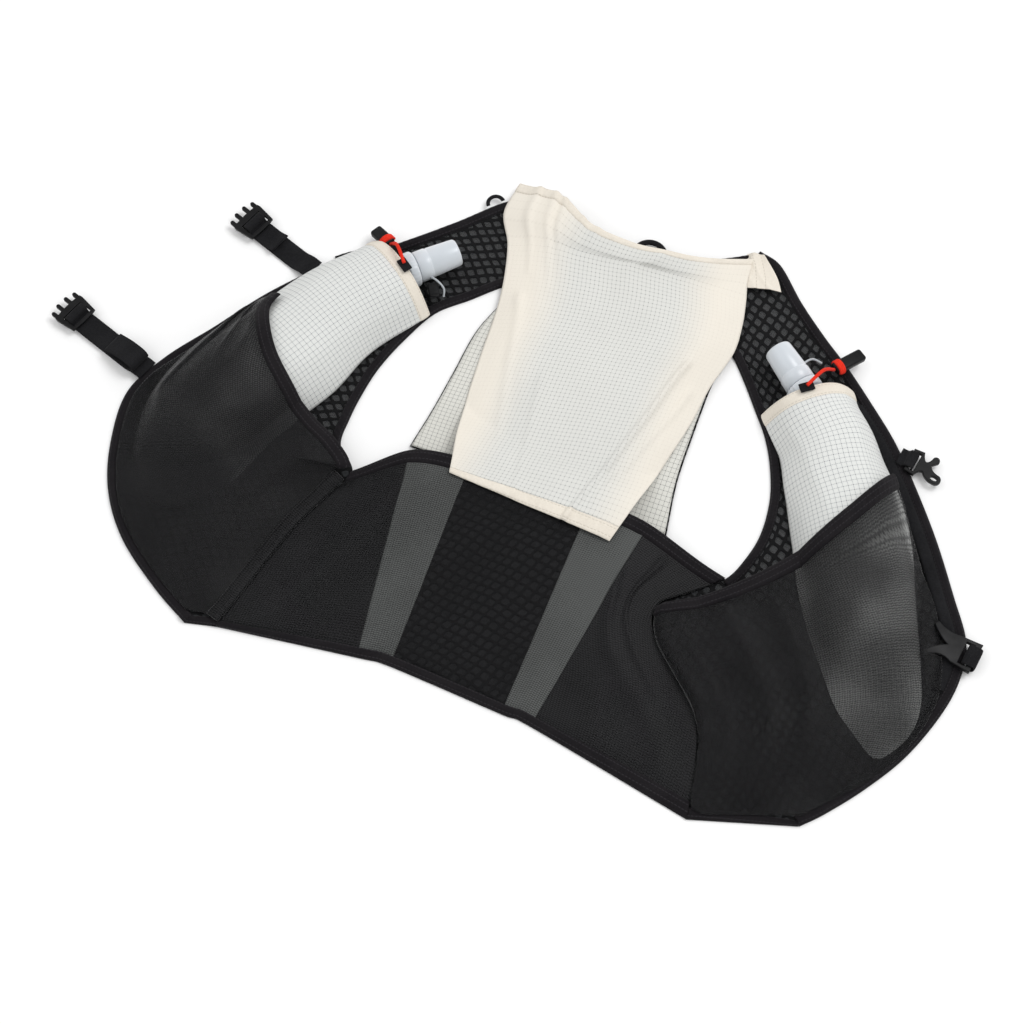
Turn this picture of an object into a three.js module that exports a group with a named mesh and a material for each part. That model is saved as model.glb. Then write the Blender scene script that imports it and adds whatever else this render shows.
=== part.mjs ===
// A running hydration vest lying opened out on its inner side, outer side up.
// X runs across the vest, Y toward the neck, Z up from the surface that it lies on.
// The origin is on that surface, under the spine.
import * as THREE from 'three';

// Driving dimensions, in millimetres
const BODY_WIDTH = 540;
const BODY_LENGTH = 380;
const NET_THICKNESS = 2;
const CLOTH_THICKNESS = 1.2;
const HEM_THICKNESS = 1.7;
const LAYER_GAP = 0.4;
const SEAM_GAP = 0.4;
const FOLD_GAP = 1.1;
const BINDING_WIDTH = 5;
const BINDING_THICKNESS = 3.2;
const MOUTH_BINDING_WIDTH = 9;
const POCKET_BAND_WIDTH = 9.5;
const FLASK_HEM_WIDTH = 8;
const FLAP_HEM_WIDTH = 8;
const BACK_POCKET_DEPTH = 11;
const FLAP_RISE = 14;
const MESH_POCKET_DEPTH = 12;
const FLASK_LENGTH = 150;
const FLASK_WIDTH = 50;
const FLASK_THICKNESS = 22;
const FLASK_SIDE_EASE = 14;
const FLASK_TOP_EASE = 4;
const NECK_DIAMETER = 17;
const COLLAR_DIAMETER = 23;
const COLLAR_LENGTH = 7;
const CAP_DIAMETER = 20.5;
const CAP_LENGTH = 29;
const WEBBING_WIDTH = 15;
const WEBBING_THICKNESS = 1.3;
const BUCKLE_WIDTH = 23;
const BUCKLE_LENGTH = 15;
const BUCKLE_THICKNESS = 2.4;
const CORD_DIAMETER = 2.6;

// Heights that the layers share
const ON_NET = NET_THICKNESS + LAYER_GAP;
const ON_UNDERLAY = ON_NET + CLOTH_THICKNESS + LAYER_GAP;
const POCKET_HALF = FLASK_WIDTH / 2 + FLASK_SIDE_EASE;
const POCKET_RISE = FLASK_THICKNESS + FLASK_TOP_EASE;
const OVER_POCKET_SIDE = 5;
const OVER_POCKET_TOP = 2 * CLOTH_THICKNESS + LAYER_GAP;
const DOME_POWER = 2.6;

// Colours, roughness and metalness of each material
const FINISHES = {
  cream: { color: 0xe1e0d8, roughness: 0.85, metalness: 0 },
  net: { color: 0x1c1c1c, roughness: 0.9, metalness: 0 },
  mesh: { color: 0x2a2a2b, roughness: 0.85, metalness: 0 },
  stripe: { color: 0x505250, roughness: 0.8, metalness: 0 },
  binding: { color: 0x1e1a1e, roughness: 0.85, metalness: 0 },
  webbing: { color: 0x18171a, roughness: 0.8, metalness: 0 },
  plastic: { color: 0x19191a, roughness: 0.45, metalness: 0 },
  flask: { color: 0xc8cdd2, roughness: 0.3, metalness: 0 },
  cap: { color: 0xb4b9be, roughness: 0.4, metalness: 0 },
  red: { color: 0xeb3223, roughness: 0.7, metalness: 0 },
};

const vest = new THREE.Group();

function addPiece(name, geometry, finish) {
  const mesh = new THREE.Mesh(geometry, new THREE.MeshStandardMaterial(FINISHES[finish]));
  mesh.name = name;
  vest.add(mesh);
  return mesh;
}

// Plan points are given in hundredths of the body's width and length.
const planPoint = (x, y) => new THREE.Vector3((x / 100) * BODY_WIDTH, (y / 100) * BODY_LENGTH, 0);

const smooth = (low, high, value) => THREE.MathUtils.smoothstep(value, low, high);

// A strip of plan between two edges. Each row holds left, right and, on a curved row, middle.
function strip(rows) {
  const edge = (x, y) => new THREE.CatmullRomCurve3(
    rows.map((row) => planPoint(row[x], row[y])), false, 'catmullrom', 0.5);
  const left = edge('leftX', 'leftY');
  const right = edge('rightX', 'rightY');
  const middle = new THREE.CatmullRomCurve3(rows.map((row) => (row.midX === undefined
    ? planPoint((row.leftX + row.rightX) / 2, (row.leftY + row.rightY) / 2)
    : planPoint(row.midX, row.midY))), false, 'catmullrom', 0.5);
  return (u, v) => {
    const at = THREE.MathUtils.clamp(v, 0, 1);
    const point = left.getPoint(at).multiplyScalar((1 - u) * (1 - 2 * u));
    point.addScaledVector(middle.getPoint(at), 4 * u * (1 - u));
    return point.addScaledVector(right.getPoint(at), u * (2 * u - 1));
  };
}

// A table row for strip(): left point, right point and a middle point where the row is curved.
const row = (leftX, leftY, rightX, rightY, midX, midY) => ({ leftX, leftY, rightX, rightY, midX, midY });

// A wall's thickness is measured square to it, up to the slope whose normal leans this far
const LEAST_UPRIGHT = 0.45;

const value = (setting, v) => (typeof setting === 'function' ? setting(v) : setting ?? 0);

// A closed wall over a plan strip. Its underside is at height(x, y, u, v), and it is thickened so
// that the wall measures the same across a slope as on the flat. Insets are in millimetres: from
// each side, from the start and the end, or "only" for a strip of that width from the start on.
function sheet(name, finish, options) {
  const { plan, height, thickness, across, along } = options;
  const inset = options.inset ?? {};
  const [vFrom, vTo] = options.span ?? [0, 1];
  const [uFrom, uTo] = options.spanAcross ?? [0, 1];
  const under = [];
  const over = [];
  const surface = (u, v) => {
    const point = plan(u, v);
    return new THREE.Vector3(point.x, point.y, height(point.x, point.y, u, v));
  };
  const step = 0.004;
  for (let j = 0; j <= along; j += 1) {
    for (let i = 0; i <= across; i += 1) {
      const roughU = THREE.MathUtils.lerp(uFrom, uTo, i / across);
      const length = plan(roughU, vFrom).distanceTo(plan(roughU, vTo));
      const start = vFrom + (value(inset.start) / length) * (vTo - vFrom);
      const end = inset.only
        ? vFrom + (inset.only / length) * (vTo - vFrom)
        : vTo - (value(inset.end) / length) * (vTo - vFrom);
      const v = THREE.MathUtils.lerp(start, end, j / along);
      const width = plan(uFrom, v).distanceTo(plan(uTo, v));
      const uStart = uFrom + (value(inset.left, v) / width) * (uTo - uFrom);
      const uEnd = uTo - (value(inset.right, v) / width) * (uTo - uFrom);
      const u = THREE.MathUtils.lerp(uStart, uEnd, i / across);
      const point = surface(u, v);
      const alongU = surface(u + step, v).sub(surface(u - step, v));
      const alongV = surface(u, Math.min(v + step, 1)).sub(surface(u, Math.max(v - step, 0)));
      const normal = alongU.cross(alongV).normalize();
      const stretch = 1 / Math.max(Math.abs(normal.z), LEAST_UPRIGHT);
      under.push(point);
      over.push(point.clone().setZ(point.z + thickness * stretch));
    }
  }
  return addPiece(name, gridSolid(under, over, across + 1, along + 1), finish);
}

// The closed solid between two grids of points, one above the other.
function gridSolid(under, over, columns, rows) {
  const a = under[1].clone().sub(under[0]);
  const b = under[columns].clone().sub(under[0]);
  const facesUp = a.x * b.y - a.y * b.x > 0;
  const vertices = [...under, ...over].flatMap((point) => [point.x, point.y, point.z]);
  const indices = [];
  const quad = (p, q, r, s) => (facesUp
    ? indices.push(p, q, r, p, r, s)
    : indices.push(p, r, q, p, s, r));
  const top = under.length;
  for (let j = 0; j + 1 < rows; j += 1) {
    for (let i = 0; i + 1 < columns; i += 1) {
      const p = j * columns + i;
      quad(top + p, top + p + 1, top + p + columns + 1, top + p + columns);
      quad(p, p + columns, p + columns + 1, p + 1);
    }
  }
  const rim = (p, q) => quad(p, q, top + q, top + p);
  for (let i = 0; i + 1 < columns; i += 1) {
    rim(i, i + 1);
    rim((rows - 1) * columns + i + 1, (rows - 1) * columns + i);
  }
  for (let j = 0; j + 1 < rows; j += 1) {
    rim((j + 1) * columns, j * columns);
    rim(j * columns + columns - 1, (j + 1) * columns + columns - 1);
  }
  const geometry = new THREE.BufferGeometry();
  geometry.setAttribute('position', new THREE.Float32BufferAttribute(vertices, 3));
  geometry.setIndex(indices);
  geometry.computeVertexNormals();
  return geometry;
}

// The point at one edge of a plan, moved a distance straight in from the edge
function edgePoint(plan, side, v, inward) {
  const u = side === 'left' ? 0 : 1;
  const here = plan(u, v);
  const tangent = plan(u, Math.min(v + 0.004, 1)).sub(plan(u, Math.max(v - 0.004, 0))).normalize();
  const across = plan(1 - u, v).sub(here);
  const normal = new THREE.Vector3(-tangent.y, tangent.x, 0);
  if (normal.dot(across) < 0) normal.negate();
  return here.addScaledVector(normal, inward);
}

// A strip of plan just inside one edge, from one distance inside it to another
const edgePlan = (plan, side, from, to) => (u, v) => edgePoint(plan, side, v, from)
  .lerp(edgePoint(plan, side, v, to), u);

// A plan drawn in from its left and right edges by distances that may vary along it
const drawnIn = (plan, left, right) => (u, v) => edgePoint(plan, 'left', v, value(left, v))
  .lerp(edgePoint(plan, 'right', v, value(right, v)), u);

// Front panels: the net base on each side of the chest, from the shoulder down to the side corner.
// The last rows run along the fold where the panel meets the back.
const LEFT_FRONT_ROWS = [
  row(-16.0, 56.0, -11.6, 40.2), row(-18.4, 52.9, -13.4, 38.3), row(-21.6, 47.8, -16.2, 34.1),
  row(-25.2, 42.6, -19.4, 29.4), row(-28.9, 37.6, -21.4, 22.8), row(-32.7, 33.4, -22.7, 16.5),
  row(-35.9, 28.4, -23.2, 11.0), row(-39.6, 21.5, -23.3, 5.6), row(-43.2, 13.0, -22.9, 0.6),
  row(-46.9, 4.6, -20.3, -3.4), row(-49.1, -3.7, -21.5, -8.8), row(-48.1, -13.0, -23.2, -15.0),
  row(-45.6, -21.4, -24.4, -21.4), row(-41.4, -28.4, -25.4, -27.9), row(-35.4, -34.2, -26.2, -33.0),
  row(-30.4, -37.9, -26.9, -36.6),
];
const RIGHT_FRONT_ROWS = [
  row(14.0, 61.6, 13.8, 41.8), row(16.9, 60.2, 15.6, 40.6), row(20.9, 54.7, 18.0, 36.9),
  row(25.0, 49.9, 20.5, 32.5), row(28.9, 45.8, 22.8, 28.3), row(33.0, 40.9, 24.6, 23.6),
  row(37.2, 35.5, 26.0, 18.0), row(41.2, 29.0, 26.5, 11.6), row(45.5, 21.2, 25.9, 6.3),
  row(49.4, 13.0, 24.6, 1.8), row(52.5, 6.0, 21.4, -2.7), row(53.2, -0.5, 18.6, -6.8),
  row(52.5, -7.4, 19.0, -11.2), row(50.4, -16.0, 22.6, -16.4), row(47.4, -23.4, 27.0, -22.0),
  row(44.2, -29.6, 29.0, -29.0), row(42.1, -32.9, 30.4, -38.4),
];
const FIRST_FOLD_ROW = 9;
const LEFT_FRONT = strip(LEFT_FRONT_ROWS);
const RIGHT_FRONT = strip(RIGHT_FRONT_ROWS);
const foldOf = (front, rows) => (v) => front(
  1, (FIRST_FOLD_ROW + v * (rows.length - 1 - FIRST_FOLD_ROW)) / (rows.length - 1));
const leftFold = foldOf(LEFT_FRONT, LEFT_FRONT_ROWS);
const rightFold = foldOf(RIGHT_FRONT, RIGHT_FRONT_ROWS);

// Steps along a front panel, and how many of them run along the armhole
const FRONT_STEPS = 30;
const ARMHOLE_STEPS = 17;

// Yoke of the back, from the neck down to the back pocket
const YOKE = strip([
  row(-15.2, 55.6, 13.2, 60.6, 0.4, 53.4), row(-13.0, 47.6, 13.2, 51.0), row(-11.0, 40.4, 13.3, 42.0),
  row(-12.6, 34.6, 14.6, 38.0), row(-13.8, 28.5, 14.6, 32.4), row(-14.2, 20.0, 14.8, 24.4),
  row(-14.6, 12.0, 15.2, 15.0), row(-15.2, 4.6, 16.4, 5.2, 0.5, 5.2),
]);

// Lower back: columns from the left fold to the right fold, each with its top and its hem
const column = (topX, topY, hemX, hemY) => ({ topX, topY, hemX, hemY });
const LOWER_BACK_COLUMNS = [
  column(-20.3, -3.4, -26.9, -36.6), column(-14.7, 3.2, -10.6, -33.0), column(-7.4, 4.6, -6.7, -32.4),
  column(7.3, 5.4, 7.0, -33.2), column(14.4, 5.0, 10.6, -33.4), column(24.6, 1.8, 30.4, -38.4),
];
const columnCurve = (x, y) => new THREE.CatmullRomCurve3(
  LOWER_BACK_COLUMNS.map((c) => planPoint(c[x], c[y])), false, 'catmullrom', 0.4);
const POCKET_TOP = columnCurve('topX', 'topY');
const POCKET_HEM = columnCurve('hemX', 'hemY');

// The lower back fills the area between its top, its hem and the two folds.
function lowerBack(u, v) {
  const across = THREE.MathUtils.clamp(u, 0, 1);
  const down = THREE.MathUtils.clamp(v, 0, 1);
  const point = POCKET_TOP.getPoint(across).lerp(POCKET_HEM.getPoint(across), down);
  const straight = (u2) => POCKET_TOP.getPoint(u2).lerp(POCKET_HEM.getPoint(u2), down);
  point.addScaledVector(leftFold(down).sub(straight(0)), 1 - smooth(0, 0.2, across));
  return point.addScaledVector(rightFold(down).sub(straight(1)), smooth(0.8, 1, across));
}

// How high the outer wall of the back pocket stands off the net
const POCKET_SWELL = { left: -21, leftFull: -9, rightFull: 12, right: 23, hem: -33, top: 3 };
function backPocketHeight(x, y) {
  const along = (100 * x) / BODY_WIDTH;
  const up = (100 * y) / BODY_LENGTH;
  const sides = smooth(POCKET_SWELL.left, POCKET_SWELL.leftFull, along)
    * (1 - smooth(POCKET_SWELL.rightFull, POCKET_SWELL.right, along));
  const rise = smooth(POCKET_SWELL.hem, POCKET_SWELL.top, up);
  return ON_NET + BACK_POCKET_DEPTH * sides * rise;
}

// Stow panel on the back: it hangs from the neck and lies over the mouth of the back pocket
const FLAP = strip([
  row(-16.4, 56.0, 13.8, 59.4, 0.6, 52.2), row(-16.9, 51.4, 13.9, 55.0, 0.4, 49.6),
  row(-14.8, 46.0, 14.7, 50.8), row(-13.4, 39.6, 15.4, 46.2), row(-12.6, 33.3, 15.7, 40.6),
  row(-12.1, 25.3, 14.7, 33.4), row(-11.5, 17.2, 14.2, 25.6), row(-10.6, 9.6, 13.3, 17.9),
  row(-9.7, 4.2, 12.3, 8.6), row(-9.2, 1.0, 11.0, -0.6, 0.9, 0.2),
]);
// Gathers and creases of the stow panel: a line from one place to another, as shares of its
// width and length, with a width in the same shares and a height in millimetres
const FLAP_CREASES = [
  { fromU: 0.10, fromV: 0.0, toU: 0.16, toV: 0.42, wide: 0.045, high: 2.4 },
  { fromU: 0.21, fromV: 0.0, toU: 0.24, toV: 0.34, wide: 0.04, high: 1.8 },
  { fromU: 0.62, fromV: 0.02, toU: 0.50, toV: 0.40, wide: 0.07, high: 1.6 },
  { fromU: 0.92, fromV: 0.30, toU: 0.72, toV: 0.98, wide: 0.06, high: 2.6 },
  { fromU: 0.10, fromV: 0.45, toU: 0.42, toV: 0.95, wide: 0.08, high: 1.6 },
];

function crease(list, u, v) {
  let height = 0;
  for (const fold of list) {
    const du = fold.toU - fold.fromU;
    const dv = fold.toV - fold.fromV;
    const t = THREE.MathUtils.clamp(
      ((u - fold.fromU) * du + (v - fold.fromV) * dv) / (du * du + dv * dv), 0, 1);
    const away = Math.hypot(u - fold.fromU - t * du, v - fold.fromV - t * dv) / fold.wide;
    height += fold.high * Math.exp(-away * away) * (1 - 0.6 * t);
  }
  return height;
}

function flapHeight(x, y, u, v) {
  const arch = 1 - Math.abs(2 * u - 1) ** DOME_POWER;
  const mouth = 1 - 0.55 * smooth(0, 0.35, v);
  const own = ON_UNDERLAY + Math.max(arch, 0) * FLAP_RISE * mouth + crease(FLAP_CREASES, u, v) * arch;
  const overPocket = backPocketHeight(x, y) + HEM_THICKNESS + 2 * LAYER_GAP;
  const near = 1 - smooth(0.06, 0.16, y / BODY_LENGTH);
  return Math.max(own, THREE.MathUtils.lerp(ON_UNDERLAY, overPocket, near));
}

function buildBack() {
  const inside = BINDING_WIDTH + 2 * SEAM_GAP;
  sheet('back_body', 'net', {
    plan: YOKE, across: 6, along: 10, height: () => 0, thickness: NET_THICKNESS,
    inset: { start: inside, left: SEAM_GAP, right: SEAM_GAP, end: 3 * SEAM_GAP },
  });
  sheet('neck_binding', 'binding', {
    plan: YOKE, across: 12, along: 1, height: () => 0, thickness: BINDING_THICKNESS,
    inset: { left: SEAM_GAP, right: SEAM_GAP, only: BINDING_WIDTH },
  });
  sheet('back_underlay', 'cream', {
    plan: YOKE, across: 6, along: 8, height: () => ON_NET, thickness: CLOTH_THICKNESS,
    span: [0.12, 0.985], inset: { left: LAYER_GAP, right: LAYER_GAP },
  });
  sheet('waist_panel', 'net', {
    plan: lowerBack, across: 8, along: 14, height: () => 0, thickness: NET_THICKNESS,
    inset: { left: FOLD_GAP, right: FOLD_GAP, start: SEAM_GAP, end: inside },
  });
  sheet('hem_binding', 'binding', {
    plan: (u, v) => lowerBack(u, 1 - v), across: 16, along: 1, height: () => 0,
    thickness: BINDING_THICKNESS, inset: { left: FOLD_GAP, right: FOLD_GAP, only: BINDING_WIDTH },
  });
}

// Outer panels of the back pocket, from left to right, each between two seams. The seams are
// places along the row of columns.
const POCKET_PANELS = [
  { name: 'left_wing', finish: 'mesh', from: 0, to: 0.2, across: 3 },
  { name: 'stripe_left', finish: 'stripe', from: 0.2, to: 0.4, across: 2 },
  { name: 'back_pocket_center', finish: 'net', from: 0.4, to: 0.6, across: 4 },
  { name: 'stripe_right', finish: 'stripe', from: 0.6, to: 0.8, across: 2 },
  { name: 'right_wing', finish: 'mesh', from: 0.8, to: 1, across: 4 },
];

function buildBackPocket() {
  for (const panel of POCKET_PANELS) {
    sheet(panel.name, panel.finish, {
      plan: lowerBack, across: panel.across, along: 8, spanAcross: [panel.from, panel.to],
      height: backPocketHeight, thickness: CLOTH_THICKNESS,
      inset: {
        left: panel.from === 0 ? FOLD_GAP : SEAM_GAP / 2,
        right: panel.to === 1 ? FOLD_GAP : SEAM_GAP / 2,
        start: POCKET_BAND_WIDTH + 2 * SEAM_GAP,
        end: BINDING_WIDTH + 3 * SEAM_GAP,
      },
    });
  }
  sheet('back_pocket_band', 'binding', {
    plan: lowerBack, across: 20, along: 1, height: backPocketHeight, thickness: HEM_THICKNESS,
    inset: { left: FOLD_GAP, right: FOLD_GAP, only: POCKET_BAND_WIDTH },
  });
}

function buildFlap() {
  const hem = FLAP_HEM_WIDTH + SEAM_GAP;
  sheet('back_flap', 'cream', {
    plan: FLAP, across: 12, along: 13, height: flapHeight, thickness: CLOTH_THICKNESS,
    inset: { start: hem, end: hem },
  });
  sheet('flap_top_hem', 'cream', {
    plan: FLAP, across: 12, along: 1, height: flapHeight, thickness: HEM_THICKNESS,
    inset: { only: FLAP_HEM_WIDTH },
  });
  sheet('flap_bottom_hem', 'cream', {
    plan: (u, v) => FLAP(u, 1 - v), across: 12, along: 1, thickness: HEM_THICKNESS,
    height: (x, y, u, v) => flapHeight(x, y, u, 1 - v), inset: { only: FLAP_HEM_WIDTH },
  });
  const corner = strip([
    row(13.6, 59.2, 14.7, 59.4), row(13.9, 56.3, 16.9, 56.4), row(14.2, 53.7, 18.1, 54.4),
  ]);
  sheet('flap_corner', 'cream', {
    plan: corner, across: 2, along: 3, height: () => ON_NET, thickness: CLOTH_THICKNESS,
  });
}

// Flask pockets follow an axis from the mouth down. Half widths are shares of POCKET_HALF and
// rises are shares of POCKET_RISE.
const axisRow = (x, y, half, rise) => ({ x, y, half, rise });
const LEFT_POCKET_AXIS = [
  axisRow(-24.4, 33.0, 0.63, 0.95), axisRow(-26.3, 29.1, 0.69, 1.0), axisRow(-28.8, 24.2, 0.8, 1.0),
  axisRow(-30.9, 19.2, 0.91, 1.0), axisRow(-32.9, 13.6, 1.02, 1.0), axisRow(-35.0, 8.0, 1.03, 1.0),
  axisRow(-36.9, 2.0, 1.02, 1.0), axisRow(-38.3, -4.0, 0.98, 0.95), axisRow(-39.0, -10.0, 0.84, 0.6),
  axisRow(-39.3, -16.0, 0.6, 0.2), axisRow(-39.2, -21.0, 0.35, 0.05),
];
const RIGHT_POCKET_AXIS = [
  axisRow(25.9, 36.6, 0.67, 0.95), axisRow(27.6, 33.6, 0.69, 1.0), axisRow(30.1, 29.8, 0.77, 1.0),
  axisRow(32.3, 25.0, 0.85, 1.0), axisRow(34.6, 20.2, 0.92, 1.0), axisRow(36.8, 14.6, 0.94, 1.0),
  axisRow(38.7, 8.6, 0.92, 1.0), axisRow(40.6, 2.4, 0.86, 0.95), axisRow(42.6, -4.0, 0.76, 0.6),
  axisRow(44.4, -10.6, 0.62, 0.2), axisRow(45.4, -16.6, 0.35, 0.05),
];

const AXIS_STEPS = 60;

function pocketAxis(table) {
  const through = (points) => new THREE.CatmullRomCurve3(points, false, 'catmullrom', 0.5);
  const path = through(table.map((r) => planPoint(r.x, r.y)));
  const shape = through(
    table.map((r) => new THREE.Vector3(r.half * POCKET_HALF, r.rise * POCKET_RISE, 0)));
  const point = (t) => path.getPoint(THREE.MathUtils.clamp(t, 0, 1));
  const side = (t) => {
    const tangent = point(t + 0.01).sub(point(t - 0.01)).normalize();
    return new THREE.Vector3(-tangent.y, tangent.x, 0);
  };
  const half = (t) => shape.getPoint(THREE.MathUtils.clamp(t, 0, 1)).x;
  const rise = (t) => shape.getPoint(THREE.MathUtils.clamp(t, 0, 1)).y;
  const samples = Array.from({ length: AXIS_STEPS + 1 }, (_, i) => point(i / AXIS_STEPS));
  // The dome's height over any place, with extra width and extra rise for a layer that lies over it
  const height = (x, y, extraHalf, extraRise) => {
    let best = Infinity;
    let at = 0;
    for (let i = 0; i < AXIS_STEPS; i += 1) {
      const span = samples[i + 1].clone().sub(samples[i]);
      const t = THREE.MathUtils.clamp(
        ((x - samples[i].x) * span.x + (y - samples[i].y) * span.y) / span.lengthSq(), 0, 1);
      const away = Math.hypot(x - samples[i].x - t * span.x, y - samples[i].y - t * span.y);
      if (away < best) {
        best = away;
        at = (i + t) / AXIS_STEPS;
      }
    }
    const share = best / (half(at) + extraHalf);
    return (rise(at) + extraRise) * Math.max(0, 1 - share ** DOME_POWER);
  };
  return { point, side, half, rise, height };
}

const LEFT_AXIS = pocketAxis(LEFT_POCKET_AXIS);
const RIGHT_AXIS = pocketAxis(RIGHT_POCKET_AXIS);

function buildFlaskPocket(side, axis) {
  const plan = (u, v) => axis.point(v).addScaledVector(axis.side(v), (2 * u - 1) * axis.half(v));
  const height = (x, y, u, v) => {
    const dome = Math.max(0, 1 - Math.abs(2 * u - 1) ** DOME_POWER);
    return ON_NET + axis.rise(v) * dome;
  };
  sheet(`${side}_flask_pocket`, 'cream', {
    plan, height, across: 12, along: 12, thickness: CLOTH_THICKNESS,
    inset: { start: FLASK_HEM_WIDTH + SEAM_GAP },
  });
  sheet(`${side}_flask_pocket_hem`, 'cream', {
    plan, height, across: 12, along: 1, thickness: HEM_THICKNESS, inset: { only: FLASK_HEM_WIDTH },
  });
}

// A closed solid of oval rings along a path. Each ring has a centre, a side direction, a half
// width and a half height.
function ovalLoft(name, finish, rings, sides) {
  const vertices = [];
  const indices = [];
  for (const ring of rings) {
    for (let i = 0; i < sides; i += 1) {
      const angle = (2 * Math.PI * i) / sides;
      const point = ring.centre.clone().addScaledVector(ring.side, Math.cos(angle) * ring.half);
      vertices.push(point.x, point.y, point.z + Math.sin(angle) * ring.tall);
    }
  }
  const last = rings.length - 1;
  for (let j = 0; j < last; j += 1) {
    for (let i = 0; i < sides; i += 1) {
      const k = (i + 1) % sides;
      const a = j * sides + i;
      const b = j * sides + k;
      indices.push(a, b + sides, a + sides, a, b, b + sides);
    }
  }
  for (const end of [0, last]) {
    const centre = vertices.length / 3;
    const middle = rings[end].centre;
    vertices.push(middle.x, middle.y, middle.z);
    for (let i = 0; i < sides; i += 1) {
      const a = end * sides + i;
      const b = end * sides + ((i + 1) % sides);
      if (end === 0) indices.push(centre, b, a);
      else indices.push(centre, a, b);
    }
  }
  const geometry = new THREE.BufferGeometry();
  geometry.setAttribute('position', new THREE.Float32BufferAttribute(vertices, 3));
  geometry.setIndex(indices);
  geometry.computeVertexNormals();
  return addPiece(name, geometry, finish);
}

// Rings of a flask body: distance from the shoulder as a share of FLASK_LENGTH, and its half
// width and half height as shares of those of the full section
const FLASK_RINGS = [
  { along: 0.0, wide: 0.42, tall: 0.78 }, { along: 0.06, wide: 0.62, tall: 0.86 },
  { along: 0.15, wide: 0.8, tall: 0.95 }, { along: 0.30, wide: 0.93, tall: 1.0 },
  { along: 0.52, wide: 1.0, tall: 1.0 }, { along: 0.74, wide: 1.0, tall: 0.98 },
  { along: 0.88, wide: 0.92, tall: 0.84 }, { along: 0.96, wide: 0.74, tall: 0.56 },
  { along: 1.0, wide: 0.5, tall: 0.22 },
];
// Turned profile of the collar, then the cap: distance along its axis as a share of its length,
// and radius as a share of half its diameter
const COLLAR_PROFILE = [
  { along: 0, wide: 0.86 }, { along: 0.14, wide: 1.0 }, { along: 0.84, wide: 1.0 },
  { along: 1, wide: 0.9 },
];
const CAP_PROFILE = [
  { along: 0, wide: 1.0 }, { along: 0.34, wide: 1.0 }, { along: 0.38, wide: 0.9 },
  { along: 0.54, wide: 0.87 }, { along: 0.6, wide: 0.96 }, { along: 0.94, wide: 0.88 },
  { along: 1, wide: 0.78 },
];

function turned(name, finish, profile, length, diameter, sides) {
  const points = profile.map((p) => new THREE.Vector2((p.wide * diameter) / 2, p.along * length));
  points.unshift(new THREE.Vector2(0, 0));
  points.push(new THREE.Vector2(0, length));
  return addPiece(name, new THREE.LatheGeometry(points, sides), finish);
}

// Where each cap points, in degrees counter-clockwise from +X, seen from above
const FLASKS = [
  { side: 'left', axis: LEFT_AXIS, capAngle: 46 },
  { side: 'right', axis: RIGHT_AXIS, capAngle: 141 },
];
const SHOULDER_INSET = 9;
const COLLAR_OUT = 1.5;

function buildFlask({ side, axis, capAngle }) {
  const axisLength = axis.point(0).distanceTo(axis.point(1));
  const angle = THREE.MathUtils.degToRad(capAngle);
  const direction = new THREE.Vector3(Math.cos(angle), Math.sin(angle), 0);
  const across = new THREE.Vector3(direction.y, -direction.x, 0);
  if (across.dot(axis.side(0)) < 0) across.negate();
  const seat = axis.point(0).addScaledVector(direction, COLLAR_OUT);
  seat.z = ON_NET + COLLAR_DIAMETER / 2;
  const neck = seat.clone().addScaledVector(direction, -LAYER_GAP);
  const rings = [{ centre: neck, side: across, half: NECK_DIAMETER / 2, tall: NECK_DIAMETER / 2 }];
  for (const ring of FLASK_RINGS) {
    const t = (SHOULDER_INSET + ring.along * FLASK_LENGTH) / axisLength;
    const centre = axis.point(t);
    centre.z = ON_NET + FLASK_THICKNESS / 2;
    const half = (ring.wide * FLASK_WIDTH) / 2;
    const tall = (ring.tall * FLASK_THICKNESS) / 2;
    rings.push({ centre, side: axis.side(t), half, tall });
  }
  ovalLoft(`${side}_flask`, 'flask', rings, 16);
  const turn = new THREE.Quaternion().setFromUnitVectors(new THREE.Vector3(0, 1, 0), direction);
  const collar = turned(
    `${side}_flask_collar`, 'cap', COLLAR_PROFILE, COLLAR_LENGTH, COLLAR_DIAMETER, 16);
  collar.quaternion.copy(turn);
  collar.position.copy(seat);
  const cap = turned(`${side}_flask_cap`, 'cap', CAP_PROFILE, CAP_LENGTH, CAP_DIAMETER, 14);
  cap.quaternion.copy(turn);
  cap.position.copy(seat).addScaledVector(direction, COLLAR_LENGTH + SEAM_GAP);
}

// Mesh pockets on the fronts. The left one's mouth is its right edge down to MOUTH_END.
const LEFT_MESH = strip([
  row(-38.3, 23.6, -36.9, 24.4), row(-39.9, 20.6, -36.4, 20.6), row(-42.0, 16.0, -36.6, 16.9),
  row(-44.0, 10.8, -35.2, 12.7), row(-46.3, 5.6, -32.9, 8.5), row(-48.1, 1.1, -29.9, 5.1),
  row(-49.0, -4.2, -26.5, 2.0), row(-48.5, -9.9, -23.0, -0.4), row(-47.6, -14.8, -20.2, -3.8),
  row(-46.5, -18.6, -21.5, -8.8), row(-45.1, -22.4, -23.2, -15.0), row(-43.0, -26.2, -24.4, -21.4),
  row(-39.7, -30.2, -25.4, -27.9), row(-35.2, -34.3, -26.2, -33.0), row(-31.3, -37.2, -26.8, -36.0),
]);
const MOUTH_END = 8 / 14;
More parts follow.
